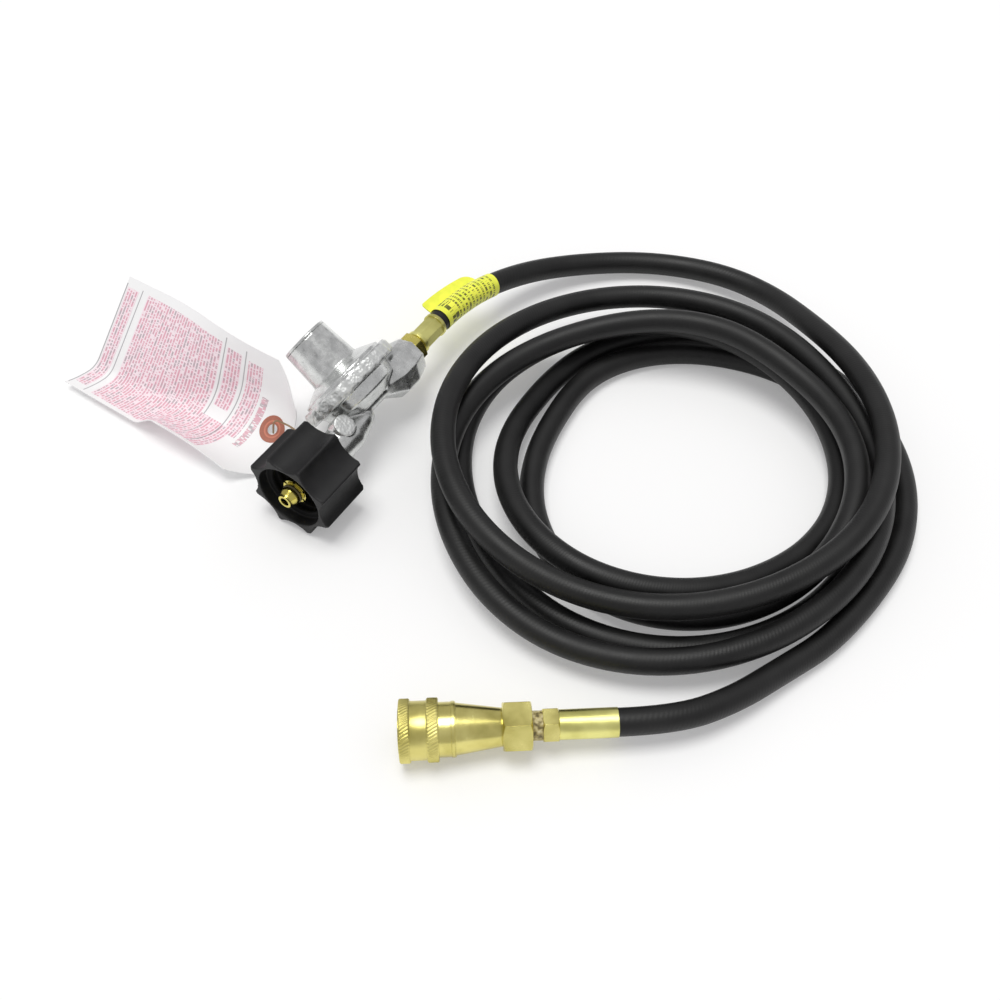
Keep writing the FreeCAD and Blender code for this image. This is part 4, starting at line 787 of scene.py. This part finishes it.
class StageLook(bpy.types.PropertyGroup):
    lens: FloatProperty(name="Lens", description="Focal length in millimetres", default=46.37)
    elevation: FloatProperty(name="Camera elevation", description="How far the camera looks down",
                             subtype="ANGLE", default=math.radians(50))
    floor_colour: FloatVectorProperty(name="Floor", description="Colour of the floor", subtype="COLOR",
                                      default=(0.99, 0.99, 0.99))


def coil_points():
    """The coil's turns, with the reach and height eased from each quarter turn to the next."""
    points = []
    quarter = math.pi / 2
    for index, (first, second) in enumerate(zip(QUARTERS, QUARTERS[1:])):
        last = index == len(QUARTERS) - 2
        for step in range(POINTS_PER_QUARTER + last):
            share = step / POINTS_PER_QUARTER
            reach, height = [eased(share, first[column], second[column],
                                   steep(first[0], first[column + 2]), steep(second[0], second[column + 2]))
                             for column in (0, 1)]
            angle = math.radians(COIL_START_ANGLE) - quarter * (index + share)
            out = Vector((math.cos(angle), math.sin(angle), 0))
            points.append(COIL_MIDDLE + out * reach * CURVE_REACH * MM + UP * height * MM)
    return points


def steep(reach, angle):
    """How far a quarter turn would go in or up at one heading."""
    return reach * math.tan(math.radians(angle)) * math.pi / 2


def eased(share, start, end, start_slope, end_slope):
    """A value that leaves and arrives with the given slopes."""
    square, cube = share ** 2, share ** 3
    return ((2 * cube - 3 * square + 1) * start + (cube - 2 * square + share) * start_slope
            + (3 * square - 2 * cube) * end + (cube - square) * end_slope)


def coil_heading(row, angle):
    """The way the hose heads at one of the coil's ends."""
    turned = math.radians(angle)
    out = Vector((math.cos(turned), math.sin(turned), 0))
    along = Vector((math.sin(turned), -math.cos(turned), 0))
    way = along + out * math.tan(math.radians(row[2])) + UP * math.tan(math.radians(row[3]))
    return way.normalized()


def hose_points():
    coil = coil_points()
    first_way = coil_heading(QUARTERS[0], COIL_START_ANGLE)
    last_way = coil_heading(QUARTERS[-1], COIL_START_ANGLE - 90 * (len(QUARTERS) - 1))
    points = [HOSE_START, HOSE_START + FLOW * REGULATOR_LEAD]
    points += [Vector(place) * MM + SHIFT for place in REGULATOR_ROUTE]
    points.append(coil[0] - first_way * COIL_LEAD_IN)
    points += coil
    points.append(coil[-1] + last_way * COIL_LEAD_OUT)
    points += [Vector(place) * MM + SHIFT for place in COUPLER_ROUTE]
    points += [HOSE_END - COUPLER_WAY * COUPLER_LEAD, HOSE_END]
    return points


def hose_curve(name, bevel):
    """The hose's centreline as one smooth curve, with its thickness."""
    curve = bpy.data.curves.new(name, "CURVE")
    curve.dimensions = "3D"
    curve.resolution_u = 8
    curve.bevel_depth = bevel
    curve.bevel_resolution = 8
    curve.use_fill_caps = bevel > 0
    spline = curve.splines.new("NURBS")
    points = hose_points()
    spline.points.add(len(points) - 1)
    for point, place in zip(spline.points, points):
        point.co = (*place, 1)
    spline.order_u = 3
    spline.use_endpoint_u = True
    made = bpy.data.objects.new(name, curve)
    bpy.context.scene.collection.objects.link(made)
    return made


class GAS_OT_hose(bpy.types.Operator):
    """The coiled hose, from the regulator's ferrule to the coupler's"""
    bl_idname = "gas.hose"
    bl_label = "Hose"

    def execute(self, context):
        look = context.scene.gas_hose
        hose = hose_curve("hose", look.diameter / 2)
        hose.data.materials.append(hose_rubber("hose rubber"))
        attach(hose, "base")
        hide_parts("hose_tail_regulator", "hose_coil", "hose_tail_coupler")
        label = wrapped_label("label", printed_film("label film"))
        own = ("hose_tail_regulator", "hose_coil", "hose_tail_coupler", "hose_label")
        cord_nodes = frame["record"]["physics"]["cord_nodes"]
        on_hose = [frame["nodes"][name] for name in cord_nodes if name not in own]
        on_hose += [label] + [bpy.data.objects[name] for name in COUPLER_SURFACES]
        return {"FINISHED"}


class GAS_OT_castings(bpy.types.Operator):
    """The regulator's zinc castings and the cap"""
    bl_idname = "gas.castings"
    bl_label = "Castings"

    def execute(self, context):
        zinc = cast_zinc("cast zinc")
        detail = context.scene.gas_regulator.casting_detail
        cast_copy("regulator_body", zinc, detail, 5)
        cast_copy("bonnet", zinc, detail, 2)
        cast_copy("tower_cap", zinc, detail / 2, 2)
        dress("spring_seat", zinc)
        dress("diaphragm_plate", zinc)
        return {"FINISHED"}


class GAS_OT_nut(bpy.types.Operator):
    """The black cylinder nut"""
    bl_idname = "gas.nut"
    bl_label = "Cylinder nut"

    def execute(self, context):
        detail = context.scene.gas_regulator.casting_detail * 0.75
        cast_copy("inlet_nut", nut_plastic("nut plastic"), detail, 1)
        return {"FINISHED"}


class GAS_OT_inlet(bpy.types.Operator):
    """The brass nipple, its seal and what it holds"""
    bl_idname = "gas.inlet"
    bl_label = "Inlet"

    def execute(self, context):
        brass = bright_brass("inlet brass", GAS, context.scene.gas_regulator.brass_colour)
        rubber = plain_rubber("seal rubber")
        smooth_copy("inlet_nipple", brass)
        dress("check_poppet", brass)
        dress("inlet_orifice", brass)
        dress("inlet_seal", plain_rubber("olive seal rubber", (0.11, 0.09, 0.03)))
        dress("valve_disc", rubber)
        dress("diaphragm", rubber)
        dress("thermal_bushing", dark_plastic("bushing plastic"))
        dress("adjuster", dark_plastic("adjuster plastic"))
        dress("check_spring", wound_steel("check spring steel", GAS, 1.6 * MM))
        dress("main_spring", wound_steel("main spring steel", TOWER, 4.4 * MM))
        steel = bright_steel("bright steel")
        for node in ("lever", "lever_pin", "vent_screen"):
            dress(node, steel)
        return {"FINISHED"}


class GAS_OT_outlet(bpy.types.Operator):
    """The brass outlet fitting and the ferrule"""
    bl_idname = "gas.outlet"
    bl_label = "Outlet"

    def execute(self, context):
        look = context.scene.gas_regulator
        smooth_copy("outlet_fitting", bright_brass("outlet brass", OUTLET, look.brass_colour))
        plated = bright_brass("regulator ferrule plating", OUTLET, look.ferrule_colour, roughness=0.26)
        smooth_copy("regulator_ferrule", plated)
        return {"FINISHED"}


class GAS_OT_tag(bpy.types.Operator):
    """The hang tag, its patch and its wire"""
    bl_idname = "gas.tag"
    bl_label = "Hang tag"

    def execute(self, context):
        corner = TAG_CORNER
        upper = TAG_UPPER_CORNER
        outline = [(0, 0), (TAG_LENGTH - corner, 0), (TAG_LENGTH, corner), (TAG_LENGTH, TAG_WIDTH - upper),
                   (TAG_LENGTH - upper, TAG_WIDTH), (0, TAG_FREE_WIDTH)]
        sheet = bent_sheet("tag_sheet", outline, printed_sheet("tag sheet"), SHEET_THICKNESS)
        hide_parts("hang_tag")
        round_patch = [(TAG_HOLE[0] + PATCH_RADIUS * math.cos(math.radians(step)),
                        TAG_HOLE[1] + PATCH_RADIUS * math.sin(math.radians(step)))
                       for step in range(0, 360, 9)]
        patch = bent_sheet("tag_hole_patch", round_patch, patch_paper("patch paper"), PATCH_THICKNESS,
                           PATCH_PROUD)
        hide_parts("tag_patch")
        dress("tag_tie", bright_brass("tie wire", GAS, (0.42, 0.30, 0.19), 0.5 * MM, 0.35))
        return {"FINISHED"}


class GAS_OT_coupler(bpy.types.Operator):
    """The brass quick coupler"""
    bl_idname = "gas.coupler"
    bl_label = "Quick coupler"

    def execute(self, context):
        look = context.scene.gas_coupler
        brass = bright_brass("coupler brass", COUPLER, look.brass_colour)
        for node in ("coupler_body", "coupler_fitting", "retaining_ring"):
            smooth_copy(node, brass)
        knurled_sleeve("coupler_sleeve_surface",
                       bright_brass("sleeve brass", COUPLER, look.brass_colour, roughness=0.3))
        plated = bright_brass("coupler ferrule plating", COUPLER, look.ferrule_colour, roughness=0.26)
        smooth_copy("coupler_ferrule", plated)
        for node in ("coupler_poppet", "poppet_guide"):
            dress(node, brass)
        steel = bright_steel("coupler steel")
        dress("snap_ring", steel)
        for index in range(6):
            dress("ball_%d" % (index + 1), steel)
        dress("sleeve_spring", wound_steel("sleeve spring steel", COUPLER, 1.9 * MM))
        dress("poppet_spring", wound_steel("poppet spring steel", COUPLER, 1.9 * MM))
        dress("socket_seal", plain_rubber("socket seal rubber"))
        dress("thread_seal", thread_paste("thread paste"))
        return {"FINISHED"}


def broad_light(name, way, softness, strength, colour):
    """An even, soft light from one direction."""
    light = bpy.data.lights.new(name, "SUN")
    light.angle = softness
    light.energy = strength
    light.color = colour
    made = bpy.data.objects.new(name, light)
    made.rotation_euler = Vector(way).to_track_quat("Z", "Y").to_euler()
    bpy.context.scene.collection.objects.link(made)


def seen_white(tree, white_share):
    """A shader that the camera and glossy surfaces see partly as plain white."""
    path = tree.nodes.new("ShaderNodeLightPath")
    seen = path.outputs["Is Camera Ray"]
    for ray in ("Is Glossy Ray", "Is Transmission Ray"):
        both = tree.nodes.new("ShaderNodeMath")
        both.operation = "MAXIMUM"
        tree.links.new(seen, both.inputs[0])
        tree.links.new(path.outputs[ray], both.inputs[1])
        seen = both.outputs[0]
    share = tree.nodes.new("ShaderNodeMath")
    share.operation = "MULTIPLY"
    share.inputs[1].default_value = white_share
    tree.links.new(seen, share.inputs[0])
    return share.outputs[0]


class GAS_OT_stage(bpy.types.Operator):
    """The floor, the light and the camera"""
    bl_idname = "gas.stage"
    bl_label = "Stage"

    def execute(self, context):
        scene = context.scene
        look = scene.gas_stage
        scene.view_settings.view_transform = "Standard"
        mesh = bmesh.new()
        bmesh.ops.create_grid(mesh, x_segments=1, y_segments=1, size=FLOOR_SIZE)
        data = bpy.data.meshes.new("floor")
        mesh.to_mesh(data)
        mesh.free()
        floor = bpy.data.objects.new("floor", data)
        scene.collection.objects.link(floor)
        finish = Finish("floor white", look.floor_colour, 0.9)
        tree = finish.tree
        share = seen_white(tree, FLOOR_WHITE_SHARE)
        glow = tree.nodes.new("ShaderNodeEmission")
        blend = tree.nodes.new("ShaderNodeMixShader")
        tree.links.new(share, blend.inputs[0])
        tree.links.new(finish.shader.outputs[0], blend.inputs[1])
        tree.links.new(glow.outputs[0], blend.inputs[2])
        tree.links.new(blend.outputs[0], tree.nodes["Material Output"].inputs[0])
        data.materials.append(finish.material)

        world = bpy.data.worlds.new("studio")
        scene.world = world
        world.use_nodes = True
        background = world.node_tree.nodes["Background"]
        background.inputs["Color"].default_value = WORLD_COLOUR
        background.inputs["Strength"].default_value = WORLD_STRENGTH
        broad_light("key light", KEY_WAY, KEY_SOFTNESS, KEY_STRENGTH, KEY_COLOUR)

        camera = bpy.data.cameras.new("camera")
        camera.lens = look.lens
        camera.sensor_width = SENSOR_WIDTH
        made = bpy.data.objects.new("camera", camera)
        made.location = CAMERA_POINT
        made.rotation_euler = (math.pi / 2 - look.elevation, 0, 0)
        scene.collection.objects.link(made)
        scene.camera = made
        return {"FINISHED"}


class GAS_PT_panel(bpy.types.Panel):
    """The pieces of the gas hose and their sizes and colours"""
    bl_idname = "GAS_PT_panel"
    bl_label = "Gas hose"
    bl_space_type = "VIEW_3D"
    bl_region_type = "UI"
    bl_category = "Gas hose"

    def draw(self, context):
        for operator in PIECES:
            self.layout.operator(operator.bl_idname)
        for name in LOOKS:
            look = getattr(context.scene, name)
            box = self.layout.box()
            for field in look.bl_rna.properties.keys():
                if field not in ("rna_type", "name"):
                    box.prop(look, field)


LOOKS = {
    "gas_hose": HoseLook,
    "gas_regulator": RegulatorLook,
    "gas_coupler": CouplerLook,
    "gas_tag": TagLook,
    "gas_stage": StageLook,
}
COUPLER_SURFACES = ["coupler_body_surface", "coupler_fitting_surface", "retaining_ring_surface",
                    "coupler_sleeve_surface", "coupler_ferrule_surface"]
PIECES = [GAS_OT_stage, GAS_OT_castings, GAS_OT_nut, GAS_OT_inlet, GAS_OT_outlet, GAS_OT_tag, GAS_OT_coupler,
          GAS_OT_hose]


def register():
    for group in LOOKS.values():
        bpy.utils.register_class(group)
    for name, group in LOOKS.items():
        setattr(bpy.types.Scene, name, PointerProperty(type=group))
    for operator in PIECES:
        bpy.utils.register_class(operator)
    bpy.utils.register_class(GAS_PT_panel)


def unregister():
    bpy.utils.unregister_class(GAS_PT_panel)
    for operator in reversed(PIECES):
        bpy.utils.unregister_class(operator)
    for name, group in reversed(LOOKS.items()):
        delattr(bpy.types.Scene, name)
        bpy.utils.unregister_class(group)


def main():
    register()
    for operator in PIECES:
        module, name = operator.bl_idname.split(".")
        getattr(getattr(bpy.ops, module), name)()
    bpy.context.view_layer.update()


if __name__ == "__main__":
    main()
